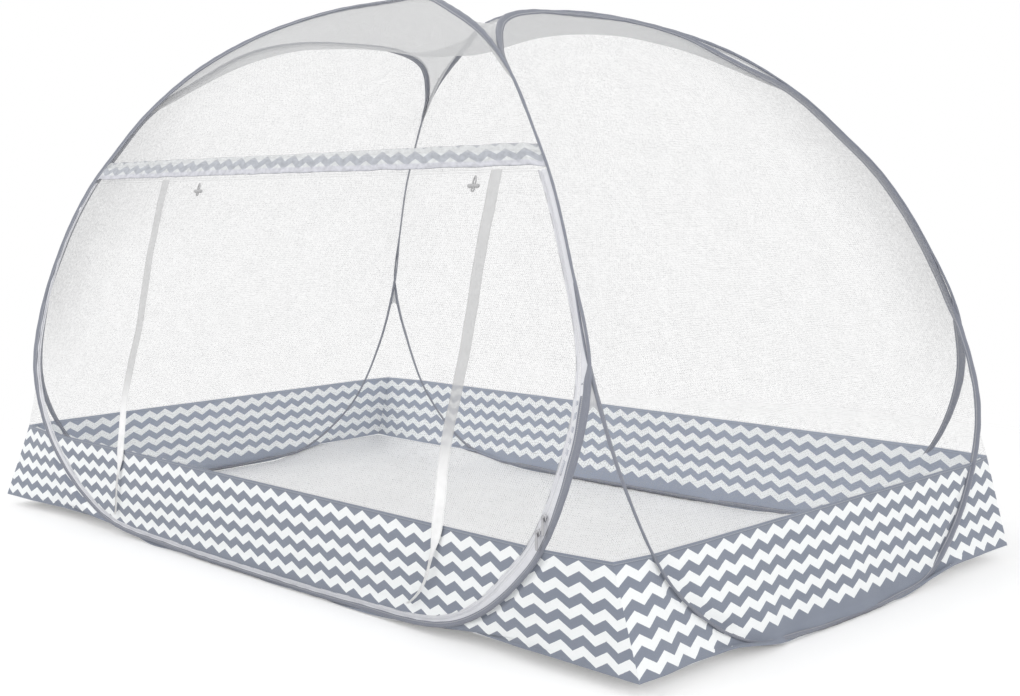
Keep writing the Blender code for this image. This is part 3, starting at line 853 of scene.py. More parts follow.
def skirt_points(side, columns, sway, seed):
    """The skirt of a side in the columns asked for, from corner to corner through the hoop's line."""
    hoop = HOOPS[side]
    short = hoop is SHORT
    heights = np.linspace(HEM_LOW, SKIRT_TOP, 31)
    reach, corner_out, corner_up = ridge(heights)[:, [1, 0, 2] if short else [0, 1, 2]].T
    along_hoop, out_hoop = hoop.at(heights)
    along_hoop = np.where(heights <= hoop.heights[0], 0.0, along_hoop)
    along = columns(along_hoop, reach)
    rows = (heights, reach, corner_out, corner_up, along_hoop, out_hoop)
    heights, reach, corner_out, corner_up, along_hoop, out_hoop = [row[:, None] for row in rows]
    beyond = np.clip((abs(along) - along_hoop) / np.maximum(reach - along_hoop, 1e-6), 0, 1)
    out = out_hoop + (corner_out - out_hoop) * beyond - skirt_recess(side, along, along_hoop, heights)
    up = heights + (corner_up - heights) * hem_share(along, short, along_hoop, reach)
    calm = ease(reach - abs(along), 0, 0.05) * ease(abs(abs(along) - along_hoop), 0.0, 0.03)
    foot = 1 - up / SKIRT_TOP
    lift = sway * calm * (0.35 + 0.65 * foot) * swell(along, up * 0.6, 0.20, seed)
    lift = lift + sway * 0.25 * calm * swell(along, up, 0.06, seed + 3) * ease(SKIRT_TOP - up, 0, 0.01)
    hem = 0.0016 * (swell(along, up * 0, 0.31, seed + 5) + 1) * foot**3
    rim = np.minimum(SKIRT_TOP - up, reach - abs(along) + 0.009)
    points = placed(side, np.stack([along, out + lift, up + hem], -1))
    flare = flared(points)
    cloth = np.stack([along - flare * sum(TURNS[side][0]), up, rim], -1)
    return points - flare[..., None] * (1, 1, 0), cloth


def flared(points):
    """How far the hem stands out, both ways, at the corner where the photo shows it thrown wide."""
    x, y, z = np.moveaxis(points, -1, 0)
    across = np.clip((-x - 0.55) / 0.45, 0, 1) * np.clip((-y - 0.12) / 0.46, 0, 1) ** 1.3
    return FLARE * across * np.clip(1 - z / SKIRT_TOP, 0, 1)


def side_columns(step):
    def columns(_, reach):
        shares = np.linspace(-1, 1, 2 * round(reach.max() / step) + 1)
        return reach[:, None] * shares

    return columns


def flap_columns(sign, step):
    """Columns from the hoop's line to the corner, at one end of a side."""

    def columns(along_hoop, reach):
        shares = np.linspace(0, 1, round(reach.max() / step) + 1)[::sign]
        return sign * (along_hoop[:, None] + (reach - along_hoop)[:, None] * shares)

    return columns


def strip_points(inner, outer, high, across, standoff=0.0, sway=0.0, seed=0):
    """A tape that follows the front hoop from one end of the door's head, round the foot, to the other."""
    edge = LONG.offset((inner + outer) / 2)
    kept = edge[:, 2] < high
    kept[np.argmin(kept) :] = False
    count = int(kept.sum())
    travel = LONG.travel[:count]
    phase = travel / 0.011 + 2.5 * swell(travel, travel * 0, 0.2, seed)
    lines = []
    for share in np.linspace(0, 1, across):
        ripple = sway * np.sin(phase) * math.sin(math.pi * share**2)
        line = LONG.offset(inner + (outer - inner) * share)[:count]
        lines.append(line + LONG.out[:count] * (standoff + ripple)[:, None])
    rows = np.stack(lines, 1)
    step = rows[-1] - rows[-2]
    top = rows[-1] + step * ((high - rows[-1, :, 2]) / step[:, 2])[:, None]
    travel = np.r_[travel, travel[-1] + np.linalg.norm(top[0] - rows[-1, 0])]
    rows = np.concatenate([rows, top[None]])
    rows = np.concatenate([rows[:0:-1] * (-1, 1, 1), rows])
    travel = np.r_[-travel[:0:-1], travel]
    inset = np.repeat(np.linspace(0, outer - inner, across)[None], len(rows), 0)
    rim = np.minimum(inset, outer - inner - inset)
    cloth = np.stack([np.repeat(travel[:, None], across, 1), inset, rim], -1)
    return placed("front", rows), cloth


def front_at(height, standoff):
    """Out and up on the front cloth at a height, and clear of it by a standoff."""
    _, out = LONG.at(height)
    _, out_above = LONG.at(height + 0.02)
    slope = unit(np.array((0, out_above - out, 0.02)))
    return np.array((0, -(out + slope[2] * standoff), height - slope[1] * standoff))


# Finishes by name, each made when a piece first asks for it


FINISHES = {
    "binding_twill": lambda name, c, s: binding_finish(name, c.binding),
    "wall_mesh": lambda name, c, s: mesh_finish(name, c.thread, s),
    "gusset_mesh": lambda name, c, s: mesh_finish(name, c.thread, s, [v * 0.35 + 0.50 for v in c.binding]),
    "skirt_print": lambda name, c, s: print_finish(name, c.printed, c.bleached, s),
    "header_print": lambda name, c, s: header_finish(name, c.printed, c.bleached, s),
    "roof_voile": lambda name, c, s: thin_finish(name, c.roof, 0.62),
    "floor_cotton": lambda name, c, s: thin_finish(name, c.floor, 1.0, 0.09),
    "zip_satin": lambda name, c, s: satin_finish(name, c.zip),
    # The ribbon's grey tint is painted shade; its doubled foot is given white.
    "ribbon_satin": lambda name, c, s: satin_finish(name, c.ribbon, 0.0020, 0.72, (1.0, 1.0, 1.0)),
    "coil_nylon": lambda name, c, s: moulded_finish(name, [0.92 * v for v in c.zip]),
    "tie_elastic": lambda name, c, s: elastic_finish(name, c.tie),
    "toggle_moulded": lambda name, c, s: moulded_finish(name, c.tie),
    "wire_steel": lambda name, c, s: metal_finish(name, c.steel, 0.34),
    "plated_metal": lambda name, c, s: metal_finish(name, c.plating, 0.20),
}


def finish(name):
    scene = bpy.context.scene
    return bpy.data.materials.get(name) or FINISHES[name](name, scene.net_colours, scene.net_sizes)


# Operators, one for each piece or group of like pieces, and one for the stage


class NET_OT_bindings(bpy.types.Operator):
    """Bend the four spring wires and fold a binding tape round each"""

    bl_idname = "net.bindings"
    bl_label = "Wires and bindings"

    wire = 0.0012
    steps = [(0.012, 0.055), (0.170, 0.450), (0.470, 0.545), (0.940, 1.110)]
    seam_lean, skirt_lean = math.radians(45), math.radians(32)
    flat = [(1.0, 0.7), (0.97, 0.9), (0.74, 0.75), (0.66, 1.0)]

    def execute(self, context):
        for side, hoop in HOOPS.items():
            line = placed(side, whole(hoop.points)[1:])
            curve = bent(f"{side}_spring", line, self.wire, closed=True)
            piece(f"{side}_spring", curve, finish("wire_steel"), "net", [f"{side}_wire"])
            rings, cloth = self.sections(side, hoop, context.scene.net_sizes)
            nodes = [f"{side}_sleeve"]
            data = cloth_mesh(f"{side}_binding", placed(side, rings), cloth, rolls=16)
            made = piece(f"{side}_binding", data, finish("binding_twill"), "net", nodes)
            declare_sheet(made)
        return {"FINISHED"}

    def zones(self, heights):
        """How far each point is in the arch, the corner seam, the free stretch, the skirt and the foot."""
        above = [1, *[ease(heights, *step) for step in self.steps], 0]
        return [low - high for low, high in zip(above, above[1:])][::-1]

    def widths(self, side, zones, last_end, sizes):
        """The tape's radius round the wire and how far in it reaches, at each point of the hoop."""
        widths = []
        for table, size in ((ROUND_SHARES, sizes.tape_round), (DEPTH_SHARES, sizes.tape_depth)):
            first, last = [sum(zone * share for zone, share in zip(zones, end)) for end in table[side]]
            widths.append((first + (last - first) * last_end) * size)
        return widths

    def lean(self, side, zones, last_end):
        """How far the tape's inner edge leans into the net, on the corner seam and on the skirt."""
        on_seam = last_end if side == "front" else 1.0
        on_skirt = {"front": 0.0, "right": 1.0, "back": 1 - last_end, "left": last_end}[side]
        return self.seam_lean * zones[1] * on_seam + self.skirt_lean * zones[3] * on_skirt

    def outline(self, travel, around, depth):
        """Points round the folded tape, as far in and out from the wire, at each point of the hoop."""
        around = around * (1 + 0.06 * np.sin(travel / 0.0075 + 2 * swell(travel, 0 * travel, 0.4, 1)))
        wave = 0.0005 * np.sin(travel / 0.016 + 2.5 * swell(travel, 0 * travel, 0.25, 4)) * (depth / 0.0125)
        thick = np.minimum(around * 0.38, 0.0013)
        turns = np.radians(np.linspace(62, 298, 9))
        outline = [(depth * a, thick * b + wave * a) for a, b in self.flat]
        outline += [(around * math.cos(t), around * math.sin(t)) for t in turns]
        outline += [(depth * a, -thick * b + wave * a) for a, b in reversed(self.flat)]
        return [*outline, outline[0]]

    def sections(self, side, hoop, sizes):
        """The folded tape round a whole hoop, with its places on the flat."""
        travel = np.r_[hoop.travel, 2 * hoop.travel[-1] - hoop.travel[-2::-1]]
        centre, inward, out = [whole(half) for half in (hoop.points, hoop.inward, hoop.out)]
        zones = self.zones(centre[:, 2])
        last_end = ease(centre[:, 0], -0.20, 0.20)
        lean = self.lean(side, zones, last_end)[:, None]
        inward, out = inward * np.cos(lean) - out * np.sin(lean), out * np.cos(lean) + inward * np.sin(lean)
        outline = self.outline(travel, *self.widths(side, zones, last_end, sizes))
        rings = np.stack([centre + inward * a[:, None] + out * b[:, None] for a, b in outline], 1)
        section = np.stack([np.stack([a, b], -1) for a, b in outline], 1)
        across = np.stack([travelled(row) for row in section])
        inset = section[:, :, 0]
        rim = (inset.max(1, keepdims=True) - inset) / np.ptp(inset, axis=1, keepdims=True)
        cloth = np.stack([np.repeat(travel[:, None], len(outline), 1), across, rim], -1)
        return rings, cloth


class NET_OT_walls(bpy.types.Operator):
    """Stretch mesh across each hoop above the skirt, and above the door"""

    bl_idname = "net.walls"
    bl_label = "Mesh walls"

    def execute(self, context):
        sway = context.scene.net_sizes.mesh_swell
        for seed, side in enumerate(HOOPS):
            low = DOOR_HEAD + GAP if side == "front" else SKIRT_TOP
            points, cloth = wall_points(side, WALL_INSET, low, math.inf, sway, seed)
            data = cloth_mesh(f"{side}_wall", points, cloth)
            made = piece(f"{side}_wall", data, finish("wall_mesh"), "net", [f"{side}_mesh"])
            declare_sheet(made)
        return {"FINISHED"}


class NET_OT_skirts(bpy.types.Operator):
    """Hang the printed skirt round three sides, and outside the door's hoop on the fourth"""

    bl_idname = "net.skirts"
    bl_label = "Skirt"

    spacing = 0.010

    def execute(self, context):
        sway = context.scene.net_sizes.skirt_swell
        corners = {"right": ["back_right"], "back": ["back_left"], "left": []}
        for seed, (side, ends) in enumerate(corners.items()):
            points, cloth = skirt_points(side, side_columns(self.spacing), sway, seed)
            nodes = [f"{side}_skirt", *[f"corner_skirt_{end}" for end in ends]]
            self.hang(f"{side}_skirting", side, points, cloth, nodes)
        for end, sign in (("right", 1), ("left", -1)):
            points, cloth = skirt_points("front", flap_columns(sign, self.spacing), sway, 7)
            self.hang(f"front_skirting_{end}", "front", points, cloth, [f"corner_skirt_front_{end}"])
        return {"FINISHED"}

    def hang(self, name, side, points, cloth, nodes):
        data = cloth_mesh(name, points, cloth)
        made = piece(name, data, finish("skirt_print"), "net", nodes)
        declare_sheet(made)


class NET_OT_gussets(bpy.types.Operator):
    """Fit a mesh gusset between neighbouring hoops, above the skirt's corners"""

    bl_idname = "net.gussets"
    bl_label = "Gussets"

    levels, half, slack = 34, 12, 0.30

    def execute(self, context):
        rows = self.rows()
        across = np.stack([travelled(row) for row in rows])
        across = across - across[:, self.half : self.half + 1]
        up = rows[..., 2]
        rim = np.minimum(across - across[:, :1], across[:, -1:] - across)
        cloth = np.stack([across, up, np.minimum(rim, up - SKIRT_TOP)], -1)
        for corner, signs in CORNERS.items():
            data = cloth_mesh(f"{corner}_gusset", rows * (*signs, 1), cloth)
            nodes = [f"gusset_{corner}"]
            made = piece(f"{corner}_gusset", data, finish("gusset_mesh"), "net", nodes)
            declare_sheet(made)
        return {"FINISHED"}

    def rows(self):
        """Level rows from the long hoop to the short one by way of the corner's ridge, drawn in from
        it above the skirt."""
        heights = np.linspace(SKIRT_TOP, FORK_HEIGHT - 0.004, self.levels)
        long_along, long_out = LONG.at(heights)
        short_along, short_out = SHORT.at(heights)
        corner = ridge(heights)
        start = np.column_stack([long_along, long_out, heights])
        end = np.column_stack([short_out, short_along, heights])
        share = np.linspace(0, 1, self.half + 1)[:, None]
        first = start[:, None] + (corner - start)[:, None] * share
        second = corner[:, None] + (end - corner)[:, None] * share
        rows = np.concatenate([first, second[:, 1:]], 1)
        bow = np.sin(np.linspace(0, math.pi, rows.shape[1]))[None, :, None]
        slack = self.slack * bow * ease(heights, 0.21, 0.34)[:, None, None]
        middle = (start + end)[:, None] / 2
        return rows + (middle - rows) * slack * (1, 1, 0)


class NET_OT_roof(bpy.types.Operator):
    """Hang the soft roof between the four arches"""

    bl_idname = "net.roof"
    bl_label = "Roof"

    weight = 0.00019
    rows, across, inner = 40, 16, 16
    middle = np.array((0, 0, 1.13))

    def execute(self, context):
        edges = [self.edge(LONG), self.edge(SHORT)[:, [1, 0, 2]]]
        points, faces, fixed = self.joined(self.quarter(edges))
        points = self.settle(points, faces, fixed)
        data = bpy.data.meshes.new("roof_cloth")
        data.from_pydata(points.tolist(), [], faces)
        data.shade_smooth()
        mark_cloth(data, np.column_stack([points[:, :2], self.reach(points, edges)]))
        made = piece("roof_cloth", data, finish("roof_voile"), "net", ["roof"])
        return {"FINISHED"}

    def edge(self, hoop):
        """The roof's sewn edge on half of an arch, from the corner to the arch's middle."""
        edge = hoop.offset(-0.0030)
        edge, _ = spaced(edge[edge[:, 2] > SEAM_END_HEIGHT - 0.012], 0.001)
        edge = edge[np.linspace(0, len(edge) - 1, self.rows).round().astype(int)]
        edge[-1, 0] = 0
        return edge

    def quarter(self, edges):
        """Rows of points over a quarter of the roof: from arch to arch, and on to the roof's middle."""
        share = np.linspace(0, 1, self.across + 1)[:, None]
        horn = edges[0][:, None] + (edges[1] - edges[0])[:, None] * share
        fall = np.linspace(0, 1, self.inner + 1)[1:, None, None]
        return np.concatenate([horn, horn[-1] + (self.middle - horn[-1]) * fall])

    def joined(self, quarter):
        """The points and faces of the four quarters, joined, and whether each point is held."""
        held = np.zeros(quarter.shape[:2], bool)
        held[: self.rows, 0] = held[: self.rows, -1] = held[0] = True
        points, faces, fixed, spots = [], [], [], {}
        for signs in CORNERS.values():
            index = np.zeros(quarter.shape[:2], int)
            for place in np.ndindex(*index.shape):
                spot = quarter[place] * (*signs, 1)
                key = tuple((spot * 20000).round().astype(int))
                if key not in spots:
                    spots[key] = len(points)
                    points.append(spot)
                    fixed.append(bool(held[place]))
                index[place] = spots[key]
            faces += self.faces(index, signs[0] * signs[1] < 0)
        return np.array(points), faces, np.array(fixed)

    def faces(self, index, flipped):
        """The faces between rows of points. Where points fall together, a face has fewer corners."""
        faces = []
        for i, j in np.ndindex(index.shape[0] - 1, index.shape[1] - 1):
            face = [int(v) for v in (index[i, j], index[i, j + 1], index[i + 1, j + 1], index[i + 1, j])]
            face = [v for k, v in enumerate(face) if v != face[k - 1]]
            if len(set(face)) >= 3:
                faces.append(face[::-1] if flipped else face)
        return faces

    def settle(self, points, faces, fixed):
        """The cloth pulled tight between its held edges, then let sag a little in folds."""
        pairs = {tuple(sorted((face[k - 1], face[k]))) for face in faces for k in range(len(face))}
        pairs = np.array(sorted(pairs))
        count = np.bincount(pairs.ravel(), minlength=len(points))[:, None]
        for _ in range(400):
            total = np.zeros_like(points)
            np.add.at(total, pairs[:, 0], points[pairs[:, 1]])
            np.add.at(total, pairs[:, 1], points[pairs[:, 0]])
            points = np.where(fixed[:, None], points, total / count - (0, 0, self.weight))
        near = np.array([abs(points[fixed, :2] - p[:2]).max(1).min() for p in points])
        fold = 0.0035 * swell(points[:, 0], points[:, 1], 0.22, 3) - 0.004
        points[:, 2] += np.where(fixed, 0, fold * ease(near, 0.0, 0.08))
        return points

    def reach(self, points, edges):
        """How far each point is from the roof's sewn edges, on plan."""
        rim = np.vstack([edge * (*signs, 1) for edge in edges for signs in CORNERS.values()])
        return np.array([np.linalg.norm(rim - p, axis=1).min() for p in points])


class NET_OT_floor_sheet(bpy.types.Operator):
    """Lay the sheet that closes the net underneath"""

    bl_idname = "net.floor_sheet"
    bl_label = "Floor sheet"

    def execute(self, context):
        x, y = HEM_CORNER[:2] - 0.002
        along, out = np.meshgrid(np.linspace(-x, x, 161), np.linspace(-y, y, 93), indexing="ij")
        edges = x - abs(along), y - abs(out)
        rim = np.minimum(*edges)
        lift = 0.0018 + 0.0008 * swell(along, out, 0.30, 2) + 0.0004 * swell(along, out, 0.09, 6)
        rise = [(1 - ease(edge, -0.10, 0.10)) * 2 for edge in edges]
        rise = np.maximum(rise[0] * hem_share(out, True), rise[1] * hem_share(along, False))
        up = 0.0006 + np.maximum(lift, 0.0002) * ease(rim, 0, 0.06) + (HEM_CORNER[2] - 0.0006) * rise
        points = np.stack([along, out, up], -1)
        points = points - flared(points)[..., None] * (1, 1, 0)
        cloth = np.stack([along, out, rim], -1)
        data = cloth_mesh("ground_sheet", points, cloth)
        made = piece("ground_sheet", data, finish("floor_cotton"), "net", ["floor_sheet"])
        declare_sheet(made)
        return {"FINISHED"}


class NET_OT_header(bpy.types.Operator):
    """Sew the folded printed band across the head of the door"""

    bl_idname = "net.header"
    bl_label = "Header band"

    columns, turns, standoff = 300, 20, 0.0052

    def execute(self, context):
        edge = LONG.offset(0.0035)
        half = float(np.interp(HEADER_LOW, LONG.heights, edge[:, 0]))
        x = np.linspace(-half, half, self.columns + 1)
        rings = []
        for angle in np.linspace(0, math.tau, self.turns + 1) + math.pi:
            height, stand = self.section(x, half, angle)
            ring = np.array([front_at(h, s) for h, s in zip(height, stand)])
            ring[:, 0] = x / half * np.interp(height, LONG.heights, edge[:, 0])
            rings.append(ring)
        points = np.stack(rings, 1)
        around = np.stack([travelled(row) for row in points])
        up = np.minimum(around, around[:, -1:] - around)
        cloth = np.stack([np.repeat(x[:, None], len(rings), 1), up, np.minimum(up + 0.0016, 0.02)], -1)
        data = cloth_mesh("door_header", points, cloth, rolls=4)
        made = piece("door_header", data, finish("header_print"), "net", ["header_band"])
        return {"FINISHED"}

    def section(self, x, half, angle):
        """Height and standoff along the band, at one turn round its fold. Its ends are pressed flat."""
        flutter = np.sin(x / 0.0062 + 3.0 * swell(x, x * 0, 0.20, 3))
        bunch = swell(x, x * 0, 0.055, 8)
        free = 0.12 + 0.88 * ease(half - abs(x), 0.004, 0.040)
        rise = (1 + math.cos(angle)) / 2
        fold = 0.0009 * bunch * math.sin(math.pi * rise) + 0.0008 * swell(x, x * 0 + rise * 0.03, 0.08, 5)
        height = HEADER_LOW - 0.0008 + (HEADER_HIGH - HEADER_LOW - 0.0004) * rise + fold
        depth = 0.0026 * math.sin(angle) * (1.15 - 0.5 * rise)
        pucker = (0.0005 * flutter + 0.0006 * bunch) * math.sin(angle)
        return height, self.standoff * ease(free, 0.12, 1) + (depth + pucker) * free


class NET_OT_zip(bpy.types.Operator):
    """Sew the zip round the front hoop: its satin tape, and the closed coils"""

    bl_idname = "net.zip"
    bl_label = "Zip"

    pitch, wide, thick, high = 0.00135, 0.0028, 0.00085, 0.0013
    outline = [(-1, -0.6), (-1, 0.35), (-0.62, 1), (0.62, 1), (1, 0.35), (1, -0.6)]

    def execute(self, context):
        points, cloth = strip_points(*FRAME_TAPE, DOOR_HEAD, across=6, sway=0.0007, seed=2)
        data = cloth_mesh("zip_frame_tape", points, cloth, rolls=14)
        made = piece("zip_frame_tape", data, finish("zip_satin"), "net", ["zip_tape"])
        declare_sheet(made)
        piece("zip_teeth", self.teeth(), finish("coil_nylon"), "net", ["zip_coil"])
        return {"FINISHED"}

    def teeth(self):
        """The two coils, closed: a row of short loops that lie across the gap, side by side."""
        rows, _ = strip_points(*COIL_ROWS, DOOR_HEAD - 0.002, across=3, standoff=0.0004)
        line = rows[:, 1]
        travel = travelled(line)
        at = np.arange(self.pitch, travel[-1], self.pitch)

        def read(values):
            return np.stack([np.interp(at, travel, column) for column in values.T], 1)

        centre = read(line)
        across = unit(read(rows[:, 2] - rows[:, 0]))
        ahead = unit(read(np.gradient(line, axis=0)))
        out = unit(np.cross(across, ahead))
        out = out * np.where(out[:, 1:2] > 0, -1, 1)
        shift = np.where(np.arange(len(at)) % 2, 0.00035, -0.00035)[:, None]
        corners = []
        for end in (-1, 1):
            for a, b in self.outline:
                spot = centre + across * (shift + a * self.wide / 2) + out * (b * self.high / 2)
                corners.append(spot + ahead * (end * self.thick / 2))
        return self.loops(np.stack(corners, 1))

    def loops(self, corners):
        """One closed body for each row of corners."""
        n = len(self.outline)
        ring = [[i, (i + 1) % n, (i + 1) % n + n, i + n] for i in range(n)]
        base = np.arange(len(corners))[:, None, None] * 2 * n
        sides = (base + np.array(ring)).reshape(-1, 4).tolist()
        caps = (base[:, 0] + np.arange(n)[None, ::-1]).tolist() + (base[:, 0] + n + np.arange(n)).tolist()
        data = bpy.data.meshes.new("zip_teeth")
        data.from_pydata(corners.reshape(-1, 3).tolist(), [], sides + caps)
        return data


class NET_OT_door(bpy.types.Operator):
    """Make the door: its zip tape, folded back on itself, its mesh and its printed skirt"""

    bl_idname = "net.door"
    bl_label = "Door"

    def execute(self, context):
        sizes = context.scene.net_sizes
        points, cloth = strip_points(*DOOR_TAPE, DOOR_HEAD - GAP, across=6, sway=0.0007, seed=5)
        behind = cloth[:, -2:0:-1] * (1, -1, 1) + (0, 2 * np.ptp(DOOR_TAPE), 0)
        cloth = np.concatenate([cloth, behind], 1)
        points = np.concatenate([points, points[:, -2:0:-1] + (0, 0.0006, 0)], 1)
        data = cloth_mesh("door_zip_tape", points, cloth, rolls=14)
        made = piece("door_zip_tape", data, finish("zip_satin"), "door", ["door_tape"])
        declare_sheet(made)
        mesh = (SKIRT_TOP, DOOR_HEAD - GAP, sizes.mesh_swell)
        skirt = (0.0, SKIRT_TOP, sizes.skirt_swell)
        parts = {
            "door_net": ("wall_mesh", "white_mesh", "door_mesh", mesh),
            "door_skirting": ("skirt_print", "printed_cloth", "door_skirt", skirt),
        }
        for name, (cover, slot, node, cut) in parts.items():
            points, cloth = wall_points("front", DOOR_CLOTH_INSET, *cut, 5, step=0.011)
            if node == "door_skirt":
                cloth[..., 1] = points[..., 2]
                cloth[..., 2] = np.minimum(SKIRT_TOP - points[..., 2], cloth[..., 2] + 0.004)
            made = piece(name, cloth_mesh(name, points, cloth), finish(cover), "door", [node])
            declare_sheet(made)
        return {"FINISHED"}


class NET_OT_ribbons(bpy.types.Operator):
    """Hang the two ribbons down the door"""

    bl_idname = "net.ribbons"
    bl_label = "Ribbons"

    rows, across = 90, np.linspace(-0.5, 0.5, 7)

    def execute(self, context):
        heights = np.linspace(DOOR_HEAD, RIBBON_FOOT, self.rows)
        for seed, which in enumerate(RIBBONS):
            name = f"door_ribbon_{which}"
            line = self.line(which, heights, seed)
            rows = np.array([self.row(height, x, seed) for height, x in zip(heights, line)])
            width = (self.across + 0.5) * RIBBON_WIDTH
            cloth = np.stack(np.meshgrid(travelled(rows[:, 3]), width, indexing="ij"), -1)
            rim = np.minimum(cloth[..., 1], RIBBON_WIDTH - cloth[..., 1])[..., None]
            data = cloth_mesh(name, rows, np.concatenate([cloth, rim], -1), rolls=6)
            made = piece(name, data, finish("ribbon_satin"), "door", [f"ribbon_{which}"])
            declare_sheet(made)
        return {"FINISHED"}

    def line(self, which, heights, seed):
        """Where the ribbon's middle is along the door, at each height."""
        top, foot = RIBBONS[which]
        share = (DOOR_HEAD - heights) / (DOOR_HEAD - RIBBON_FOOT)
        line = top + (foot - top) * share**RIBBON_BEND - RIBBON_HOOK[which] * share**18
        return line + 0.0020 * swell(heights, heights * 0, 0.45, seed)

    def row(self, height, x, seed):
        """Points across the ribbon, which curls, and is folded up on itself near its foot."""
        wave = 0.0010 * swell(height, 0, 0.11, seed + 2)
        tilt = swell(height, 0, 0.21, seed + 4)
        folded = 1 - ease(height, 0.115, 0.210)
        row = []
        for a in self.across:
            pleat = math.sin(a * 2.6 * math.pi)
            curl = 0.0007 * (1 - 4 * a * a) + 0.0010 * a * tilt + folded * 0.0032 * abs(pleat)
            spread = a * (1 - folded) + pleat * 0.14 * folded
            row.append(front_at(height, RIBBON_STANDOFF + wave + curl) + (x + spread * RIBBON_WIDTH, 0, 0))
        return row


class NET_OT_ties(bpy.types.Operator):
    """Hang the elastic loops and their bars under the header"""

    bl_idname = "net.ties"
    bl_label = "Ties"

    cord, spread, turns, bar, bar_length, tail = 0.0030, 0.0058, 36, 0.0037, 0.027, 0.0110

    def execute(self, context):
        for which, x in TIES.items():
            body = f"tie_{which}"
            height = DOOR_HEAD - TIE_BELOW_HEAD
            top = Vector(front_at(height, TIE_STANDOFF)) + Vector((x, 0, 0))
            foot = Vector(front_at(height - TIE_DROP, TIE_STANDOFF)) + Vector((x, 0, 0))
            hang = (foot - top).normalized()
            points = self.loop(top, hang, x)
            nodes = [f"tie_loop_{which}"]
            curve = bent(f"{body}_cord", points, self.cord / 2)
            cord = piece(f"{body}_cord", curve, finish("tie_elastic"), body, nodes)
            nodes = [f"toggle_{which}"]
            data = self.bar_mesh(f"{body}_bar", top + hang * (TIE_DROP + 0.0010), hang)
            bar = piece(f"{body}_bar", data, finish("toggle_moulded"), body, nodes)
            length = sum((b - a).length for a, b in zip(points, points[1:]))
        return {"FINISHED"}

    def loop(self, top, hang, x):
        """Points round the cord's loop, which is drawn in at the bar and opens again below it."""
        points = []
        for i in range(self.turns + 1):
            angle = math.tau * i / self.turns
            drop = (TIE_DROP + self.tail) / 2 * (1 - math.cos(angle))
            waist = 1 - 0.72 * math.exp(-(((drop - TIE_DROP - 0.001) / 0.0048) ** 2))
            sideways = -self.spread * math.sin(angle) * (0.72 - 0.30 * math.cos(angle)) * waist
            points.append(top + hang * drop + Vector((sideways, 0, 0)))
        points[0].x, points[-1].x = x - 0.0011, x + 0.0011
        return points

    def bar_mesh(self, name, centre, hang):
        """A turned bar: rounded ends, a waist where the cord goes round it, and two thin collars."""
        profile = [(-0.5, 0.0), (-0.49, 0.55), (-0.44, 0.92), (-0.38, 1.0), (-0.20, 0.95), (-0.12, 0.98)]
        profile += [(-0.09, 0.80), (0.09, 0.80), (0.12, 0.98), (0.20, 0.95), (0.38, 1.0), (0.44, 0.92)]
        profile += [(0.49, 0.55), (0.5, 0.0)]
        front = hang.cross(Vector((1, 0, 0)))
        turn = [math.tau * k / 20 for k in range(21)]
        rows = []
        for along, radius in profile:
            spin = [(hang * math.cos(a) + front * math.sin(a)) * (max(radius, 0.02) * self.bar) for a in turn]
            rows.append([centre + Vector((along * self.bar_length, 0, 0)) + p for p in spin])
        points = np.array([[tuple(p) for p in row] for row in rows])
        return cloth_mesh(name, points, points)


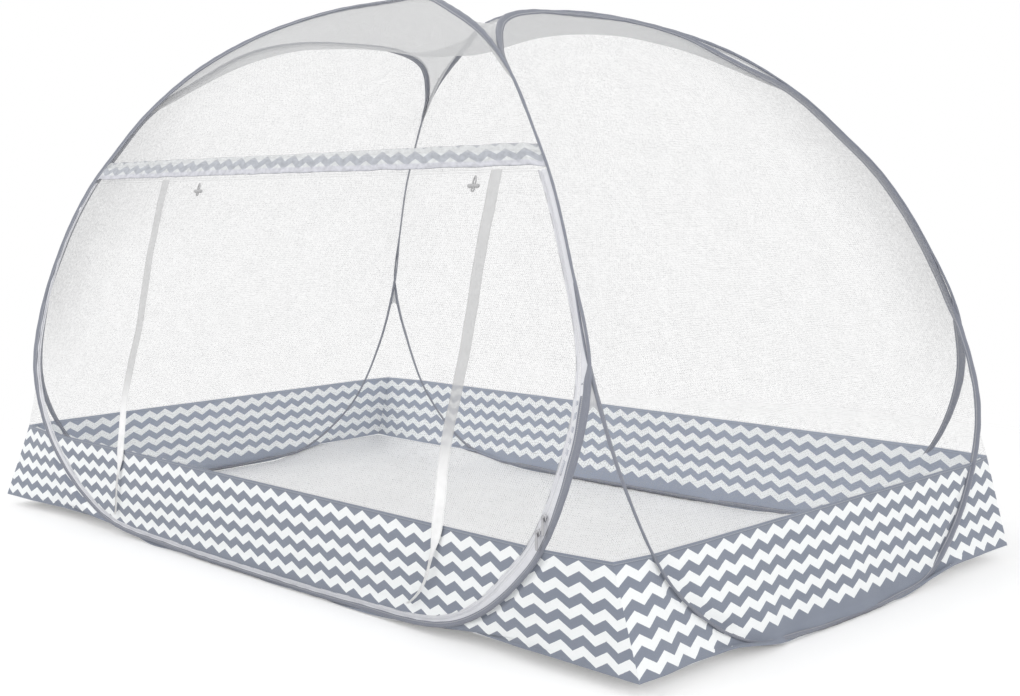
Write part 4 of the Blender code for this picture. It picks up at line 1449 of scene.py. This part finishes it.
class NET_OT_metalwork(bpy.types.Operator):
    """Finish the crimps, and make the zip's sliders and pulls"""

    bl_idname = "net.metalwork"
    bl_label = "Metalwork"

    outline = [(-0.0042, -0.0066), (0.0042, -0.0066), (0.0052, 0.0012), (0.0037, 0.0066), (-0.0037, 0.0066)]
    outline += [(-0.0052, 0.0012)]
    layers = [(-0.0013, 0.86), (-0.0011, 0.97), (-0.0005, 1.0), (0.0003, 1.0), (0.0009, 0.95), (0.0012, 0.80)]
    bridge = [(-0.0038, 0.0006), (-0.0030, 0.0026), (-0.0012, 0.0037), (0.0012, 0.0040), (0.0030, 0.0028)]
    bridge += [(0.0040, 0.0006)]
    tab = [(0.0014, 0.0), (0.0026, 0.006), (0.0033, 0.022), (0.0022, 0.0285)]
    tab_layers = [(-0.0005, 0.944), (-0.00035, 1.0), (0.00035, 1.0), (0.0005, 0.944)]

    def execute(self, context):
        for side in HOOPS:
            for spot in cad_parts[f"{side}_ferrule"].material_slots:
                spot.material = finish("plated_metal")
        track = LONG.offset((COIL_ROWS[0] + COIL_ROWS[1]) / 2)
        for which in ("upper", "lower"):
            low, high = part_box(f"zip_slider_{which}")
            spot = (low + high) / 2
            near = int(np.argmin(abs(track[:, 2] - spot.z) + (track[:, 0] < 0.3)))
            step = track[near + 2] - track[near - 2]
            rise = Vector((step[0], -step[1], step[2])).normalized()
            out = Vector((0, -1, 0))
            out = (out - rise * out.dot(rise)).normalized()
            self.slider(which, spot, rise, out)
            self.pull(which, out)
        return {"FINISHED"}

    def slider(self, which, spot, rise, out):
        body = f"slider_{which}"
        across = rise.cross(out)
        ring = rounded([Vector((a, b, 0)) for a, b in self.outline], 4)
        rows = [[spot + across * p.x * s + rise * p.y * s + out * d for p in ring] for d, s in self.layers]
        nodes = [f"zip_slider_{which}"]
        piece(body, solid_mesh(body, rows), finish("plated_metal"), body, nodes)
        bridge = bent(f"{body}_bridge", [spot + rise * b + out * d for b, d in self.bridge], 0.0006)
        piece(f"{body}_bridge", bridge, finish("plated_metal"), body)

    def pull(self, which, out):
        body = f"pull_{which}"
        low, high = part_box(f"zip_pull_{which}")
        top = Vector(((low.x + high.x) / 2, (low.y + high.y) / 2, high.z))
        side = [Vector((a, -b, 0)) for a, b in self.tab]
        ring = rounded(side + [Vector((-p.x, p.y, 0)) for p in reversed(side)], 3)
        middle = Vector((0, -0.0142, 0))
        rows = []
        for depth, size in self.tab_layers:
            points = [middle + (p - middle) * size for p in ring]
            rows.append([top + Vector((p.x, 0, p.y)) + out * depth for p in points])
        data = solid_mesh(f"{body}_tab", rows)
        piece(f"{body}_tab", data, finish("plated_metal"), body, [f"zip_pull_{which}"])


def rounded(corners, steps):
    """A closed outline through the corners, with each cut off in a curve."""
    ring = []
    for i, corner in enumerate(corners):
        before, after = corners[i - 1], corners[(i + 1) % len(corners)]
        a = corner.lerp(before, 0.30)
        b = corner.lerp(after, 0.30)
        for k in range(steps + 1):
            t = k / steps
            ring.append(a * (1 - t) ** 2 + corner * (2 * t * (1 - t)) + b * t**2)
    return ring


def solid_mesh(name, rings):
    """A closed body through rings of points, its two ends filled."""
    count = len(rings[0])
    points = [tuple(p) for ring in rings for p in ring]
    faces = []
    for i in range(len(rings) - 1):
        for j in range(count):
            k = (j + 1) % count
            faces.append((i * count + j, i * count + k, (i + 1) * count + k, (i + 1) * count + j))
    faces.append(tuple(range(count))[::-1])
    faces.append(tuple((len(rings) - 1) * count + j for j in range(count)))
    data = bpy.data.meshes.new(name)
    data.from_pydata(points, [], faces)
    data.shade_smooth()
    data.set_sharp_from_angle(angle=math.radians(50))
    return data


class NET_OT_stage(bpy.types.Operator):
    """Set the pale floor, the soft studio light and the camera"""

    bl_idname = "net.stage"
    bl_label = "Stage"

    floor_size, floor_glow, floor_fades, sky = 8.0, 0.22, (1.6, 2.4), 0.86
    aim = (0, 0, 0.3)
    lamps = {"key_light": ((-1.8, -4.4, 4.2), 4.5, 90), "fill_light": ((4.6, -1.0, 2.8), 4.0, 60)}

    def execute(self, context):
        context.scene.view_settings.view_transform = "Standard"
        self.floor()
        self.world(context.scene)
        for name, (place, size, power) in self.lamps.items():
            self.lamp(name, place, size, power)
        self.camera(context.scene)
        return {"FINISHED"}

    def looked_at(self, tree):
        """1 where the camera, a reflection or clear glass sees it, and 0 for the light that it gives."""
        rays = tree.nodes.new("ShaderNodeLightPath").outputs
        kinds = ("Camera", "Glossy", "Transmission")
        camera, glossy, clear = [Value(tree, rays[f"Is {kind} Ray"]) for kind in kinds]
        return camera.most(glossy).most(clear)

    def floor(self):
        half = self.floor_size / 2
        data = bpy.data.meshes.new("studio_floor")
        corners = [(-half, -half, 0), (half, -half, 0), (half, half, 0), (-half, half, 0)]
        data.from_pydata(corners, [], [(0, 1, 2, 3)])
        look = Finish("studio_floor", roughness=1.0, specular_ior_level=0.0, base_color=(0.80, 0.80, 0.80))
        length = look.node("ShaderNodeVectorMath", {"operation": "LENGTH"}, {"Vector": look.spot()})
        reach = look.value(length.outputs["Value"])
        glow = (self.floor_glow, self.floor_glow, self.floor_glow)
        look.feed("Emission Color", look.mix(self.looked_at(look.tree), (0, 0, 0), glow))
        look.feed("Emission Strength", 1.0)
        look.feed("Alpha", 1 - look.smooth(reach, *self.floor_fades))
        data.materials.append(look.material)
        made = bpy.data.objects.new("studio_floor", data)
        bpy.context.scene.collection.objects.link(made)

    def world(self, scene):
        world = bpy.data.worlds.new("studio")
        scene.world = world
        world.use_nodes = True
        back = world.node_tree.nodes["Background"]
        back.inputs["Color"].default_value = (1, 1, 1, 1)
        strength = self.looked_at(world.node_tree) * (1 - self.sky) + self.sky
        join(world.node_tree, back.inputs["Strength"], strength)

    def lamp(self, name, place, size, power):
        light = bpy.data.lights.new(name, "AREA")
        light.shape = "DISK"
        light.size = size
        light.energy = power
        made = bpy.data.objects.new(name, light)
        made.location = place
        made.rotation_euler = (Vector(self.aim) - Vector(place)).to_track_quat("-Z", "Y").to_euler()
        bpy.context.scene.collection.objects.link(made)

    def camera(self, scene):
        width, height = IMAGE_SIZE
        turn, pitch, roll = CAMERA_TURN
        ahead = Vector((math.sin(turn) * math.cos(pitch), math.cos(turn) * math.cos(pitch), math.sin(pitch)))
        level = Vector((math.cos(turn), -math.sin(turn), 0))
        above = level.cross(ahead)
        right = level * math.cos(roll) + above * math.sin(roll)
        up = above * math.cos(roll) - level * math.sin(roll)
        data = bpy.data.cameras.new("camera")
        data.lens = data.sensor_width * FOCAL_PIXELS / width
        data.shift_x = (width / 2 - CENTRE_PIXEL[0]) / width
        data.shift_y = (CENTRE_PIXEL[1] - height / 2) / width
        data.clip_start, data.clip_end = 0.05, 200
        made = bpy.data.objects.new("camera", data)
        turned = Matrix((right, up, -ahead)).transposed().to_4x4()
        made.matrix_world = Matrix.Translation(CAMERA_PLACE) @ turned
        scene.collection.objects.link(made)
        scene.camera = made


class VIEW3D_PT_net(bpy.types.Panel):
    """The net's operators, and the sizes and colours that they read"""

    bl_idname = "VIEW3D_PT_net"
    bl_label = "Mosquito Net"
    bl_space_type = "VIEW_3D"
    bl_region_type = "UI"
    bl_category = "Net"

    def draw(self, context):
        for operator in OPERATORS:
            self.layout.operator(operator.bl_idname)
        for group in (context.scene.net_sizes, context.scene.net_colours):
            column = self.layout.column()
            for key in group.bl_rna.properties.keys():
                if key not in ("rna_type", "name"):
                    column.prop(group, key)


OPERATORS = (
    NET_OT_stage,
    NET_OT_bindings,
    NET_OT_walls,
    NET_OT_skirts,
    NET_OT_gussets,
    NET_OT_roof,
    NET_OT_floor_sheet,
    NET_OT_header,
    NET_OT_zip,
    NET_OT_door,
    NET_OT_ribbons,
    NET_OT_ties,
    NET_OT_metalwork,
)
CLASSES = (NetSizes, NetColours, *OPERATORS, VIEW3D_PT_net)


def register():
    for item in CLASSES:
        bpy.utils.register_class(item)
    bpy.types.Scene.net_sizes = PointerProperty(type=NetSizes)
    bpy.types.Scene.net_colours = PointerProperty(type=NetColours)


def unregister():
    del bpy.types.Scene.net_colours
    del bpy.types.Scene.net_sizes
    for item in reversed(CLASSES):
        bpy.utils.unregister_class(item)


def main():
    register()
    bpy.ops.net.stage()
    bpy.ops.net.bindings()
    bpy.ops.net.walls()
    bpy.ops.net.skirts()
    bpy.ops.net.gussets()
    bpy.ops.net.roof()
    bpy.ops.net.floor_sheet()
    bpy.ops.net.header()
    bpy.ops.net.zip()
    bpy.ops.net.door()
    bpy.ops.net.ribbons()
    bpy.ops.net.ties()
    bpy.ops.net.metalwork()


if __name__ == "__main__":
    main()
